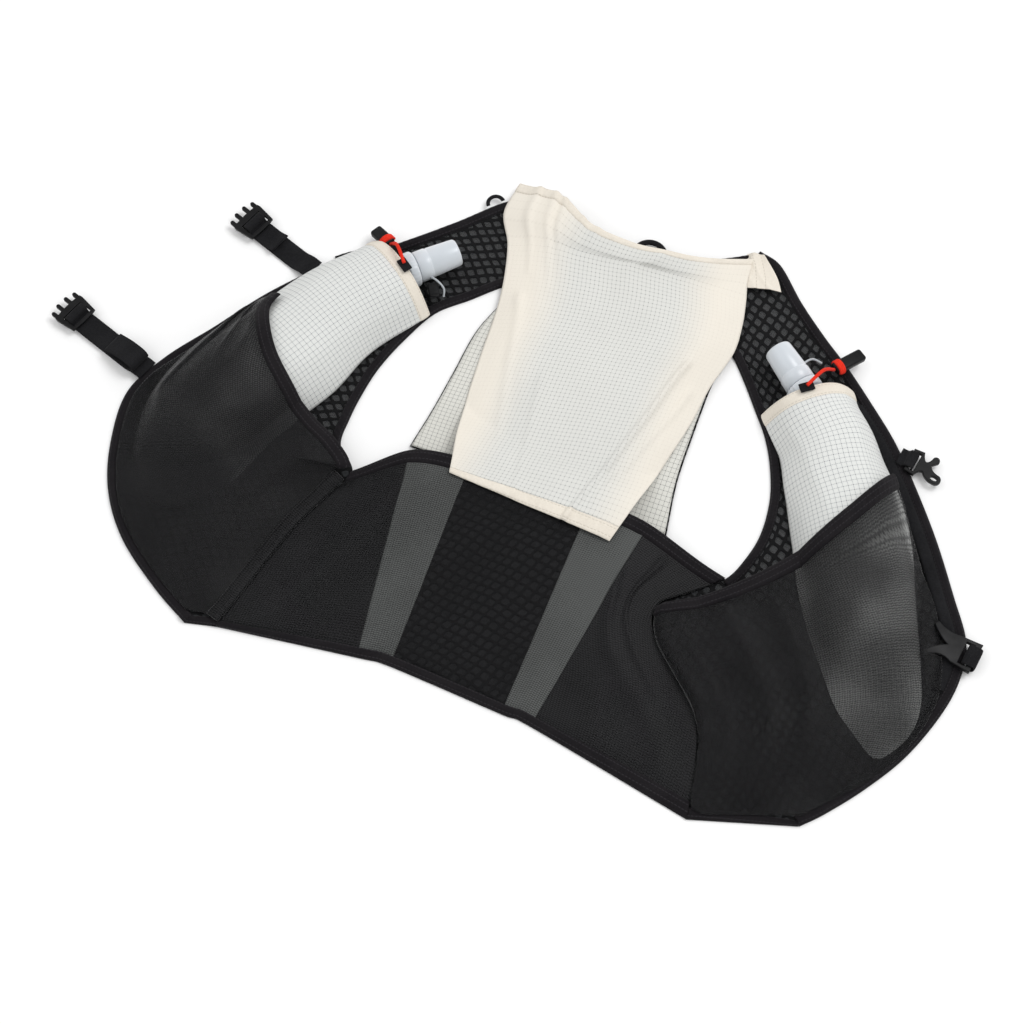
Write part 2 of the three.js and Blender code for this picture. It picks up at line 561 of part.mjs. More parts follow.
// The right one's mouth is its first row, which sags in the middle.
const RIGHT_MESH = strip([
  row(18.8, -7.4, 38.2, 28.2, 29.9, 6.6), row(19.0, -10.2, 41.3, 21.9, 31.4, 2.6),
  row(20.2, -13.2, 43.6, 15.6), row(22.6, -16.4, 45.6, 9.3), row(25.2, -19.6, 47.3, 3.4),
  row(27.0, -22.2, 48.9, -2.0), row(28.4, -25.6, 49.6, -7.6), row(29.1, -29.4, 48.9, -14.2),
  row(29.6, -33.2, 47.0, -20.8), row(30.3, -36.4, 44.4, -26.6), row(32.0, -36.9, 42.0, -31.4),
]);

const OVER_EDGE = BINDING_THICKNESS + LAYER_GAP;

function leftMeshHeight(x, y, u, v) {
  const open = 1 - smooth(MOUTH_END - 0.12, MOUTH_END + 0.1, v);
  const swell = Math.sin(Math.PI * THREE.MathUtils.clamp(u, 0, 1) * (1 - open / 2));
  const ends = smooth(0, 0.15, v) * (1 - smooth(0.72, 1, v));
  const own = MESH_POCKET_DEPTH * swell * ends;
  const under = LEFT_AXIS.height(x, y, OVER_POCKET_SIDE, OVER_POCKET_TOP);
  return OVER_EDGE + Math.max(own, under, 0.5 * (own + under));
}

// The right mesh pocket is folded over on its left edge, which stands up as a roll.
function rightMeshHeight(x, y, u, v) {
  const across = THREE.MathUtils.clamp(u, 0, 1);
  const roll = 0.75 * (1 - smooth(0.08, 0.3, across)) * smooth(-0.02, 0.03, across);
  const swell = Math.sin(Math.PI * across) ** 0.8 * 0.95;
  const ends = 1 - smooth(0.6, 1, v);
  const own = MESH_POCKET_DEPTH * Math.max(roll * (1 - smooth(0.35, 0.8, v)), swell) * ends;
  const under = RIGHT_AXIS.height(x, y, OVER_POCKET_SIDE, OVER_POCKET_TOP);
  return OVER_EDGE + Math.max(own, under);
}

function buildMeshPockets() {
  const mouth = MOUTH_BINDING_WIDTH + 3 * SEAM_GAP;
  const edge = BINDING_WIDTH + SEAM_GAP;
  const mouthEdge = edgePlan(LEFT_MESH, 'right', 0, MOUTH_BINDING_WIDTH);
  const edgeHeight = (x, y, u, v) => leftMeshHeight(x, y, 1, v);
  sheet('left_mesh_pocket', 'mesh', {
    plan: drawnIn(LEFT_MESH, edge, mouth), across: 8, along: 20, height: leftMeshHeight,
    thickness: CLOTH_THICKNESS, span: [0.08, 1],
  });
  sheet('left_mesh_mouth_binding', 'binding', {
    plan: mouthEdge, across: 1, along: 14, span: [0.08, MOUTH_END],
    height: edgeHeight, thickness: HEM_THICKNESS,
  });
  sheet('left_side_seam', 'binding', {
    plan: mouthEdge, across: 1, along: 8, span: [MOUTH_END + 0.03, 1],
    height: edgeHeight, thickness: HEM_THICKNESS,
  });
  sheet('right_mesh_pocket', 'mesh', {
    plan: RIGHT_MESH, across: 12, along: 14, height: rightMeshHeight, thickness: CLOTH_THICKNESS,
    inset: { start: mouth, left: SEAM_GAP, right: SEAM_GAP, end: SEAM_GAP },
  });
  sheet('right_mesh_mouth_binding', 'binding', {
    plan: RIGHT_MESH, across: 16, along: 1, height: rightMeshHeight, thickness: HEM_THICKNESS,
    inset: { only: MOUTH_BINDING_WIDTH },
  });
}

function buildFronts() {
  const inside = BINDING_WIDTH + SEAM_GAP;
  for (const [side, plan] of [['left', LEFT_FRONT], ['right', RIGHT_FRONT]]) {
    const endOfArmhole = ARMHOLE_STEPS / FRONT_STEPS;
    const rightInset = (v) => (v < endOfArmhole + 0.5 / FRONT_STEPS ? inside : SEAM_GAP);
    sheet(`${side}_front_panel`, 'net', {
      plan: drawnIn(plan, inside, rightInset), across: 3, along: FRONT_STEPS,
      height: () => 0, thickness: NET_THICKNESS, inset: { start: SEAM_GAP },
    });
    sheet(`${side}_outer_binding`, 'binding', {
      plan: edgePlan(plan, 'left', 0, BINDING_WIDTH), across: 1, along: FRONT_STEPS,
      height: () => 0, thickness: BINDING_THICKNESS,
    });
    sheet(`${side}_armhole_binding`, 'binding', {
      plan: edgePlan(plan, 'right', 0, BINDING_WIDTH), across: 1, along: ARMHOLE_STEPS,
      span: [0, endOfArmhole], height: () => 0, thickness: BINDING_THICKNESS,
    });
  }
}

// A flat strap whose side view follows a path of (run, height) points, laid along a heading
function strap(name, finish, path, width, thickness, start, heading) {
  const curve = new THREE.CatmullRomCurve3(path.map((p) => new THREE.Vector3(p.run, p.up, 0)),
    false, 'centripetal');
  const steps = Math.round(path.length * 1.5);
  const sides = [1, -1].map((side) => Array.from({ length: steps + 1 }, (_, i) => {
    const point = curve.getPoint(i / steps);
    const tangent = curve.getTangent(i / steps);
    return new THREE.Vector2(point.x - (side * tangent.y * thickness) / 2,
      point.y + (side * tangent.x * thickness) / 2);
  }));
  const outline = new THREE.Shape([...sides[0], ...sides[1].reverse()]);
  const geometry = new THREE.ExtrudeGeometry(outline, { depth: width, bevelEnabled: false });
  geometry.translate(0, 0, -width / 2);
  geometry.rotateX(Math.PI / 2);
  geometry.rotateZ(THREE.MathUtils.degToRad(heading));
  geometry.translate(start.x, start.y, 0);
  return addPiece(name, geometry, finish);
}

// A flat moulded piece, laid at a place with its own X along a heading
function plate(name, finish, shape, thickness, place, level, heading) {
  const geometry = new THREE.ExtrudeGeometry(
    shape, { depth: thickness, bevelEnabled: false, curveSegments: 4 });
  geometry.rotateZ(THREE.MathUtils.degToRad(heading));
  geometry.translate(place.x, place.y, level);
  return addPiece(name, geometry, finish);
}

const slot = (centreX, centreY, halfX, halfY) => {
  const path = new THREE.Path();
  path.absellipse(centreX, centreY, halfX, halfY, 0, 2 * Math.PI, true);
  return path;
};

// Sternum buckle: a frame with two windows, and four fingers at its far end
const FINGERS = [
  { at: -0.41, reach: 0.3 }, { at: -0.15, reach: 0.42 },
  { at: 0.15, reach: 0.42 }, { at: 0.41, reach: 0.3 },
];
function buckleShape() {
  const half = BUCKLE_WIDTH / 2;
  const frontEdge = (y) => BUCKLE_LENGTH * (1.06 - 0.06 * (y / half) ** 2);
  const shape = new THREE.Shape();
  shape.moveTo(0, -half * 0.86);
  shape.lineTo(BUCKLE_LENGTH, -half);
  for (const finger of FINGERS) {
    const y = finger.at * BUCKLE_WIDTH;
    const r = BUCKLE_WIDTH * 0.06;
    const tip = BUCKLE_LENGTH * (1 + finger.reach);
    shape.lineTo(frontEdge(y - r), y - r);
    shape.absarc(tip - r, y, r, -Math.PI / 2, Math.PI / 2, false);
    shape.lineTo(frontEdge(y + r), y + r);
  }
  shape.lineTo(0, half * 0.86);
  shape.quadraticCurveTo(-BUCKLE_LENGTH * 0.12, 0, 0, -half * 0.86);
  const window = (from, to, ease) => {
    const hole = new THREE.Path();
    const y = WEBBING_WIDTH / 2 + ease;
    hole.moveTo(BUCKLE_LENGTH * from, -y);
    hole.lineTo(BUCKLE_LENGTH * from, y);
    hole.lineTo(BUCKLE_LENGTH * to, y);
    hole.lineTo(BUCKLE_LENGTH * to, -y);
    return hole;
  };
  shape.holes.push(window(0.1, 0.4, LAYER_GAP), window(0.6, 0.9, 1.5 * LAYER_GAP));
  return shape;
}

// Sternum straps: where each leaves the left outer edge, as a share of the front's length, its
// heading, and its run to the buckle
const STERNUM_STRAPS = [
  { name: 'upper', edge: 0.39, heading: 161, run: 46, tail: 16 },
  { name: 'lower', edge: 0.63, heading: 162, run: 56, tail: 42 },
];
const STRAP_OVERLAP = 2;
const TAIL_CURL = 2.5;

function buildSternumStrap({ name, edge, heading, run, tail }) {
  const start = edgePoint(LEFT_FRONT, 'left', edge, STRAP_OVERLAP);
  const low = WEBBING_THICKNESS / 2 + LAYER_GAP;
  const second = low + WEBBING_THICKNESS + LAYER_GAP;
  const high = BINDING_THICKNESS + LAYER_GAP + WEBBING_THICKNESS / 2;
  const level = second + WEBBING_THICKNESS / 2 + LAYER_GAP;
  const over = level + BUCKLE_THICKNESS + LAYER_GAP + WEBBING_THICKNESS / 2;
  const inside = level + BUCKLE_THICKNESS * 0.7;
  const bar = run + BUCKLE_LENGTH / 2;
  const reach = BUCKLE_LENGTH * 0.1 + WEBBING_THICKNESS / 2 + LAYER_GAP;
  strap(`${name}_sternum_webbing`, 'webbing', [
    { run: 0, up: high }, { run: 6, up: high }, { run: 12, up: low + 0.8 }, { run: 18, up: low },
    { run: bar - 6, up: low }, { run: bar + reach - 1.2, up: low + 0.3 },
    { run: bar + reach, up: level },
    { run: bar + reach, up: inside }, { run: bar + reach * 0.6, up: over },
    { run: bar - reach * 0.6, up: over }, { run: bar - reach, up: inside },
    { run: bar - reach, up: level }, { run: bar - reach - 1.6, up: second },
    { run: bar - 10, up: second }, { run: run - tail * 0.6, up: second },
    { run: run - tail, up: second + TAIL_CURL },
  ], WEBBING_WIDTH, WEBBING_THICKNESS, start, heading);
  const along = new THREE.Vector3(Math.cos(THREE.MathUtils.degToRad(heading)),
    Math.sin(THREE.MathUtils.degToRad(heading)), 0);
  plate(`${name}_sternum_buckle`, 'plastic', buckleShape(), BUCKLE_THICKNESS,
    start.clone().addScaledVector(along, run), level, heading);
}

// Hook buckle on the right front: a slotted bar, then a stem with a nub and an arm that ends in
// an oval eye
const HOOK_LENGTH = 24;
const HOOK_THICKNESS = 3;
const HOOK_SLOT = { from: 0.11, to: 0.24, half: 0.27 };
function hookShape() {
  const unit = HOOK_LENGTH;
  const shape = new THREE.Shape();
  shape.moveTo(0, -0.34 * unit);
  shape.lineTo(0.29 * unit, -0.37 * unit);
  shape.quadraticCurveTo(0.34 * unit, -0.16 * unit, 0.46 * unit, -0.16 * unit);
  shape.quadraticCurveTo(0.6 * unit, -0.34 * unit, 0.82 * unit, -0.34 * unit);
  shape.absarc(0.86 * unit, -0.2 * unit, 0.14 * unit, -Math.PI / 2, Math.PI / 2, false);
  shape.quadraticCurveTo(0.66 * unit, -0.04 * unit, 0.6 * unit, 0.12 * unit);
  shape.absarc(0.64 * unit, 0.3 * unit, 0.1 * unit, -0.6, Math.PI, false);
  shape.quadraticCurveTo(0.5 * unit, 0.14 * unit, 0.42 * unit, 0.14 * unit);
  shape.quadraticCurveTo(0.34 * unit, 0.2 * unit, 0.29 * unit, 0.37 * unit);
  shape.lineTo(0, 0.34 * unit);
  shape.holes.push(slot(0.8 * unit, -0.2 * unit, 0.1 * unit, 0.055 * unit), barSlot(HOOK_SLOT, unit));
  return shape;
}

// The webbing that fits a slot
const barWidth = ({ half }, length) => 2 * half * length - 3 * LAYER_GAP;

// A slot for webbing, given in shares of a buckle's length
function barSlot({ from, to, half }, unit) {
  const hole = new THREE.Path();
  hole.moveTo(from * unit, -half * unit);
  hole.lineTo(from * unit, half * unit);
  hole.lineTo(to * unit, half * 0.98 * unit);
  hole.lineTo(to * unit, -half * 0.98 * unit);
  return hole;
}

// Fork buckle lower on the right front: two prongs, a waist and a bar for the webbing
const FORK_LENGTH = 32;
const FORK_THICKNESS = 3.4;
const FORK_SLOT = { from: 0.7, to: 0.87, half: 0.23 };
function forkShape() {
  const unit = FORK_LENGTH;
  const shape = new THREE.Shape();
  shape.moveTo(0, -0.34 * unit);
  shape.lineTo(0.06 * unit, -0.4 * unit);
  shape.quadraticCurveTo(0.3 * unit, -0.14 * unit, 0.56 * unit, -0.28 * unit);
  shape.lineTo(0.98 * unit, -0.32 * unit);
  shape.lineTo(unit, 0.32 * unit);
  shape.lineTo(0.56 * unit, 0.3 * unit);
  shape.quadraticCurveTo(0.3 * unit, 0.24 * unit, 0.06 * unit, 0.38 * unit);
  shape.lineTo(0, 0.3 * unit);
  shape.quadraticCurveTo(0.2 * unit, 0.1 * unit, 0.38 * unit, 0.02 * unit);
  shape.quadraticCurveTo(0.16 * unit, -0.1 * unit, 0, -0.34 * unit);
  shape.holes.push(barSlot(FORK_SLOT, unit));
  return shape;
}

// Places of the right buckles: the spot on the right outer edge, how far out from it they start,
// and the heading of their length
const HOOK = { edge: 0.405, out: 1.8, heading: -8 };
const FORK = { edge: 0.617, out: -24, heading: -6 };

// How high the fork's webbing passes where it lies low beside the binding
const WEBBING_ON_FLOOR = 1;

function buildRightBuckles() {
  const ease = LAYER_GAP + WEBBING_THICKNESS / 2;
  const hookPlace = edgePoint(RIGHT_FRONT, 'left', HOOK.edge, -HOOK.out);
  plate('hook_buckle', 'plastic', hookShape(), HOOK_THICKNESS, hookPlace, OVER_EDGE, HOOK.heading);
  const hookSlot = ((HOOK_SLOT.from + HOOK_SLOT.to) / 2) * HOOK_LENGTH;
  const onEdge = OVER_EDGE + WEBBING_THICKNESS / 2;
  const hookTop = OVER_EDGE + HOOK_THICKNESS + ease;
  strap('hook_webbing', 'webbing', [
    { run: -6.5, up: onEdge }, { run: -3, up: onEdge }, { run: -1.4, up: OVER_EDGE + 2.2 },
    { run: -0.6, up: hookTop - 0.2 }, { run: 0.6, up: hookTop }, { run: hookSlot - 1, up: hookTop },
    { run: hookSlot, up: hookTop - 1.2 }, { run: hookSlot, up: OVER_EDGE + 0.2 },
  ], barWidth(HOOK_SLOT, HOOK_LENGTH), WEBBING_THICKNESS, hookPlace, HOOK.heading);

  const forkPlace = edgePoint(RIGHT_FRONT, 'left', FORK.edge, -FORK.out);
  const forkLevel = OVER_EDGE + LAYER_GAP;
  plate('fork_buckle', 'plastic', forkShape(), FORK_THICKNESS, forkPlace, forkLevel, FORK.heading);
  const forkSlot = ((FORK_SLOT.from + FORK_SLOT.to) / 2) * FORK_LENGTH;
  const forkTop = forkLevel + FORK_THICKNESS + ease;
  const beyond = FORK_LENGTH + ease;
  strap('fork_webbing', 'webbing', [
    { run: forkSlot - 0.2, up: forkLevel - 0.6 }, { run: forkSlot, up: forkLevel + 1 },
    { run: forkSlot, up: forkTop - 1.2 }, { run: forkSlot + 1, up: forkTop },
    { run: beyond - 1.2, up: forkTop }, { run: beyond, up: forkTop - 1.2 },
    { run: beyond, up: forkLevel }, { run: beyond - 0.6, up: WEBBING_ON_FLOOR + 0.8 },
    { run: beyond - 2, up: WEBBING_ON_FLOOR }, { run: beyond - 4, up: WEBBING_ON_FLOOR },
  ], barWidth(FORK_SLOT, FORK_LENGTH), WEBBING_THICKNESS, forkPlace, FORK.heading);
}

// Small loops of tape: half rings that lie flat, with their ends on an edge
const TAPE_LOOPS = [
  { name: 'neck_hang_loop', x: 1.7, y: 53.2, outer: 12, wide: 4, heading: 12 },
  { name: 'left_shoulder_loop', x: -18.3, y: 53.0, outer: 6.5, wide: 2.6, heading: 44 },
];
const TAPE_THICKNESS = 1.3;

function buildTapeLoops() {
  for (const loop of TAPE_LOOPS) {
    const shape = new THREE.Shape();
    shape.absarc(0, 0, loop.outer, 0, Math.PI, false);
    shape.absarc(0, 0, loop.outer - loop.wide, Math.PI, 0, true);
    plate(loop.name, 'webbing', shape, TAPE_THICKNESS, planPoint(loop.x, loop.y),
      BINDING_THICKNESS + LAYER_GAP, loop.heading);
  }
}

// Rails of folded tape that the sternum straps clip to: outside the left edge, inside the right.
// Each runs along part of its front, between two distances in from the outer edge.
const RAILS = [
  { side: 'left', plan: LEFT_FRONT, from: 0.27, to: 0.345, near: -3.4, far: -SEAM_GAP, level: 0 },
  { side: 'right', plan: RIGHT_FRONT, from: 0.42, to: 0.72, near: 6.2, far: 10.6, level: ON_NET },
];
const RAIL_THICKNESS = 1.5;

function buildRails() {
  for (const rail of RAILS) {
    sheet(`${rail.side}_strap_rail`, 'webbing', {
      plan: edgePlan(rail.plan, 'left', rail.near, rail.far), span: [rail.from, rail.to],
      across: 1, along: 10, height: () => rail.level, thickness: RAIL_THICKNESS,
    });
  }
}

// Draw cords at the flask mouths: an elastic loop from the hem to a moulded pull, and the tab
// that holds it. Places are millimetres from the middle of the mouth.
const DRAW_CORDS = [
  { side: 'left', axis: LEFT_AXIS, knotX: -17, knotY: 17, knotZ: 12, pullX: -30, pullY: 24, tabX: 2 },
  { side: 'right', axis: RIGHT_AXIS, knotX: 9, knotY: 24, knotZ: 13, pullX: 21, pullY: 42, tabX: -2 },
];
const TAB = { length: 9, width: 7, thickness: 1.4, y: -3 };
const PULL_DIAMETER = 6;
const MOUTH_RISE = 0.95;
const CORD_BEND = 0.45;

function buildDrawCord({ side, axis, knotX, knotY, knotZ, pullX, pullY, tabX }) {
  const mouth = axis.point(0);
  const place = (x, y, z) => new THREE.Vector3(mouth.x + x, mouth.y + y, z);
  const top = ON_NET + POCKET_RISE * MOUTH_RISE + HEM_THICKNESS + 2 * LAYER_GAP;
  const tab = new THREE.BoxGeometry(TAB.length, TAB.width, TAB.thickness);
  const tabPlace = place(tabX, TAB.y, top + TAB.thickness / 2);
  tab.translate(tabPlace.x, tabPlace.y, tabPlace.z);
  addPiece(`${side}_mouth_tab`, tab, 'webbing');
  const knot = place(knotX, knotY, knotZ);
  const route = new THREE.CatmullRomCurve3([
    place(tabX, TAB.y, top + TAB.thickness + LAYER_GAP + CORD_DIAMETER / 2),
    place(knotX * CORD_BEND, knotY * CORD_BEND, top + CORD_DIAMETER),
    knot,
  ]);
  const section = new THREE.Shape();
  section.absarc(0, 0, CORD_DIAMETER / 2, 0, 2 * Math.PI);
  const loop = new THREE.ExtrudeGeometry(section, { steps: 8, curveSegments: 4, extrudePath: route });
  addPiece(`${side}_pull_loop`, loop, 'red');
  const far = place(pullX, pullY, ON_NET + PULL_DIAMETER / 2 + BINDING_THICKNESS);
  const heading = far.sub(knot);
  const length = heading.length() - PULL_DIAMETER;
  heading.normalize();
  const middle = length / 2 + PULL_DIAMETER / 2 + CORD_DIAMETER / 4 + LAYER_GAP;
  const pull = addPiece(
    `${side}_cord_pull`, new THREE.CapsuleGeometry(PULL_DIAMETER / 2, length, 3, 8), 'plastic');
  pull.quaternion.setFromUnitVectors(new THREE.Vector3(0, 1, 0), heading);
  pull.position.copy(knot).addScaledVector(heading, middle);
}

buildFronts();
buildBack();
buildBackPocket();
buildFlap();
buildFlaskPocket('left', LEFT_AXIS);
buildFlaskPocket('right', RIGHT_AXIS);
FLASKS.forEach(buildFlask);
buildMeshPockets();
STERNUM_STRAPS.forEach(buildSternumStrap);
buildRightBuckles();
buildTapeLoops();
buildRails();
DRAW_CORDS.forEach(buildDrawCord);

export default vest;
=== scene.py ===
# A running hydration vest, laid open on its inner side, outer side up.
# X runs across the vest, Y toward the neck, Z up. Plan work is in millimetres.
import math

import bmesh
import bpy
import numpy as np
from mathutils import Matrix, Vector


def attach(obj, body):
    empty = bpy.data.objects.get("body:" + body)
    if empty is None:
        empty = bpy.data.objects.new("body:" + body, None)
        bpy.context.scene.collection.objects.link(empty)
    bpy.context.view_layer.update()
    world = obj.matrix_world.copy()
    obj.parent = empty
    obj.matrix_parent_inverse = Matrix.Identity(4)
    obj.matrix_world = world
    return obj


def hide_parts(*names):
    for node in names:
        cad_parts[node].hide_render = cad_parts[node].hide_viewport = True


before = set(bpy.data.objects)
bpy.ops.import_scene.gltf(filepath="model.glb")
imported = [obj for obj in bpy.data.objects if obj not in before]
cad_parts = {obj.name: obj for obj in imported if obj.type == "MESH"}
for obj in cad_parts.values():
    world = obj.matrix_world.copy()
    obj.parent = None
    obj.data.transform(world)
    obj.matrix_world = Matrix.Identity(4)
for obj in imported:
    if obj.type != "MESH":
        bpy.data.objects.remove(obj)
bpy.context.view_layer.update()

# Sizes in millimetres, as in the part's source
BODY_WIDTH = 540.0
BODY_LENGTH = 380.0
NET_THICKNESS = 2.0
CLOTH_THICKNESS = 1.2
HEM_THICKNESS = 1.7
LAYER_GAP = 0.4
SEAM_GAP = 0.4
FOLD_GAP = 1.1
BINDING_WIDTH = 5.0
BINDING_THICKNESS = 3.2
MOUTH_BINDING_WIDTH = 9.0
POCKET_BAND_WIDTH = 9.5
FLAP_HEM_WIDTH = 8.0
BACK_POCKET_DEPTH = 11.0
FLAP_RISE = 14.0
MESH_POCKET_DEPTH = 12.0
FLASK_LENGTH = 150.0
FLASK_WIDTH = 50.0
FLASK_THICKNESS = 22.0
FLASK_SIDE_EASE = 14.0
FLASK_TOP_EASE = 4.0
NECK_DIAMETER = 17.0
COLLAR_DIAMETER = 23.0
COLLAR_LENGTH = 7.0
CAP_DIAMETER = 20.5
CAP_LENGTH = 29.0
WEBBING_WIDTH = 15.0
WEBBING_THICKNESS = 1.3
BUCKLE_WIDTH = 23.0
BUCKLE_LENGTH = 15.0
BUCKLE_THICKNESS = 2.4
CORD_DIAMETER = 2.6
ON_NET = NET_THICKNESS + LAYER_GAP
ON_UNDERLAY = ON_NET + CLOTH_THICKNESS + LAYER_GAP
POCKET_HALF = FLASK_WIDTH / 2 + FLASK_SIDE_EASE
POCKET_RISE = FLASK_THICKNESS + FLASK_TOP_EASE
OVER_EDGE = BINDING_THICKNESS + LAYER_GAP
DOME_POWER = 2.6
# Walls of the scene's cloth and nets, thinner than in the solids
FABRIC = 0.5
NET_WALL = 0.9
# Nets end under the tapes, which lie a little over them
NET_INSET = 1.5
WIDE_TAPE = 7.0
TAPE_COLUMNS = 8
PUCKER_PITCH = 4.6
# The mesh clears the flask pockets under it by this much, at their sides and over them
MESH_EASE = 5.0
MESH_CLEARANCE = 2 * CLOTH_THICKNESS + LAYER_GAP
MESH_INSET = MOUTH_BINDING_WIDTH - 0.6
# From a surface to the middle of a webbing that passes it
STRAP_EASE = LAYER_GAP + WEBBING_THICKNESS / 2
STRAP_SIDES = 28
MOULDING_BEVEL = 0.55
# Half the step along an edge over which its direction is taken
EDGE_STEP = 0.004
UP = np.array([0.0, 0.0, 1.0])
MM = 0.001

# Camera at the photograph's angle: the spine leans and the view looks down steeply
AZIMUTH = math.radians(22.0)
ELEVATION = math.radians(66.0)
DISTANCE = 1.51
LENS = 85.0
AIM = Vector((-0.006, 0.0, 0.0))
SENSOR_WIDTH = 36.0


def linked(name, data):
    obj = bpy.data.objects.new(name, data)
    bpy.context.collection.objects.link(obj)
    return obj


def place_camera():
    data = bpy.data.cameras.new("camera")
    data.lens = LENS
    data.sensor_width = SENSOR_WIDTH
    camera = linked("camera", data)
    back = Vector((math.sin(AZIMUTH) * math.cos(ELEVATION),
                   -math.cos(AZIMUTH) * math.cos(ELEVATION), math.sin(ELEVATION)))
    camera.location = AIM + back * DISTANCE
    camera.rotation_euler = back.to_track_quat("Z", "Y").to_euler()
    bpy.context.scene.camera = camera


place_camera()


# Curves and plans
def curve_point(points, t, tension=0.5):
    """Points on a smooth curve through a list of points, at shares t of its way."""
    pts = np.asarray(points, float)
    last = len(pts) - 1
    s = np.clip(np.asarray(t, float), 0, 1) * last
    i = np.minimum(s.astype(int), last - 1)
    w = (s - i)[..., None]
    ext = np.vstack([2 * pts[0] - pts[1], pts, 2 * pts[-1] - pts[-2]])
    p0, p1, p2, p3 = ext[i], ext[i + 1], ext[i + 2], ext[i + 3]
    m1 = tension * (p2 - p0)
    m2 = tension * (p3 - p1)
    return p1 + m1 * w + (3 * (p2 - p1) - 2 * m1 - m2) * w**2 + (2 * (p1 - p2) + m1 + m2) * w**3


def spread(points):
    """Hundredths of the body's width and length to millimetres."""
    return np.asarray(points, float) * np.array([BODY_WIDTH, BODY_LENGTH]) / 100


def smooth(low, high, value):
    t = np.clip((value - low) / (high - low), 0, 1)
    return t * t * (3 - 2 * t)


def norm(x):
    return np.linalg.norm(x, axis=-1)


def unit(x):
    return x / np.maximum(np.linalg.norm(x, axis=-1, keepdims=True), 1e-9)


def turned(x):
    """Plan directions turned a quarter to the left."""
    return np.stack([-x[..., 1], x[..., 0]], axis=-1)


def ahead(heading):
    """The plan direction at an angle in degrees."""
    turn = math.radians(heading)
    return np.array([math.cos(turn), math.sin(turn)])


def around(count):
    """Angles of evenly spaced points around a ring."""
    return np.linspace(0, 2 * np.pi, count, endpoint=False)


def strip(rows):
    """A strip of plan between a left and a right edge; a row may bend through a middle point."""
    left = spread([(r[0], r[1]) for r in rows])
    right = spread([(r[2], r[3]) for r in rows])
    middle = spread([(r[4], r[5]) if len(r) > 4 else ((r[0] + r[2]) / 2, (r[1] + r[3]) / 2)
                     for r in rows])

    def plan(u, v):
        u = np.asarray(u, float)[..., None]
        return (curve_point(left, v) * (1 - u) * (1 - 2 * u) + curve_point(middle, v) * 4 * u * (1 - u)
                + curve_point(right, v) * u * (2 * u - 1))
    return plan


def plan_length(plan, u):
    """How long a plan is from its start to its end, at shares u across it."""
    return norm(plan(u, 0 * u) - plan(u, 0 * u + 1))


def edge_point(plan, side, v, inward):
    """The point at one edge of a plan, moved straight in from the edge."""
    v = np.asarray(v, float)
    u = np.full_like(v, 0.0 if side == "left" else 1.0)
    here = plan(u, v)
    tangent = plan(u, np.minimum(v + EDGE_STEP, 1)) - plan(u, np.maximum(v - EDGE_STEP, 0))
    normal = turned(unit(tangent))
    outward = np.sum(normal * (plan(1 - u, v) - here), axis=-1) < 0
    normal[outward] *= -1
    return here + normal * np.asarray(inward, float)[..., None]


def edge_plan(plan, side, near, far):
    """A band along one edge of a plan, between two distances inward of it."""
    def inner(u, v):
        share = u[..., None]
        return edge_point(plan, side, v, near) * (1 - share) + edge_point(plan, side, v, far) * share
    return inner


def drawn_in(plan, left, right):
    """A plan drawn in at both edges. At the right one it may be by a function of v."""
    def inner(u, v):
        share = u[..., None]
        far = right(v) if callable(right) else right
        return edge_point(plan, "left", v, left) * (1 - share) + edge_point(plan, "right", v, far) * share
    return inner


def inset_plan(plan, start, end, u_span=(0.0, 1.0)):
    """A plan from one distance past its start to another past its end."""
    def inner(u, v):
        across = u_span[0] + u * (u_span[1] - u_span[0])
        length = plan_length(plan, across)
        low = start / length
        return plan(across, low + v * (1 + end / length - low))
    return inner


def end_band(plan, width):
    """A band of one width along the far end of a plan."""
    def inner(u, v):
        length = norm(plan(v, 0 * u + 0.9) - plan(v, 0 * u + 1)) / 0.1
        return plan(v, 1 - (1 - u) * width / length)
    return inner


# Smooth noise, the same on every run
def noise(x, y, seed):
    """Smooth noise from -1 to 1 with features about one unit wide."""
    xi, yi = np.floor(x), np.floor(y)
    fx, fy = x - xi, y - yi
    sx, sy = fx * fx * (3 - 2 * fx), fy * fy * (3 - 2 * fy)

    def corner(i, j):
        h = np.sin(i * 127.1 + j * 311.7 + seed * 74.7) * 43758.5453
        return 2 * (h - np.floor(h)) - 1
    top = corner(xi, yi) * (1 - sx) + corner(xi + 1, yi) * sx
    low = corner(xi, yi + 1) * (1 - sx) + corner(xi + 1, yi + 1) * sx
    return top * (1 - sy) + low * sy


def rumple(p, size, seed, turn=0.0, stretch=1.0):
    """Two octaves of noise over plan points, with features that many millimetres wide."""
    c, s = math.cos(turn), math.sin(turn)
    x = (p[..., 0] * c + p[..., 1] * s) / size
    y = (p[..., 1] * c - p[..., 0] * s) / (size * stretch)
    return noise(x, y, seed) + 0.45 * noise(2.1 * x, 2.1 * y, seed + 7)


def creases(table, u, v):
    """Ridges from one place to another: from u, v, to u, v, width, height, how much stays."""
    total = np.zeros_like(np.asarray(u, float))
    for u0, v0, u1, v1, wide, high, stays in table:
        du, dv = u1 - u0, v1 - v0
        t = np.clip(((u - u0) * du + (v - v0) * dv) / (du * du + dv * dv), 0, 1)
        away = np.hypot(u - u0 - t * du, v - v0 - t * dv) / wide
        total = total + high * np.exp(-away * away) * (1 - (1 - stays) * t)
    return total


# Meshes
def lengths(points, axis):
    """Distances along a grid of points from its first row or column."""
    total = np.cumsum(norm(np.diff(points, axis=axis)), axis=axis)
    pad = np.zeros_like(np.take(total, [0], axis=axis))
    return np.concatenate([pad, total], axis=axis)


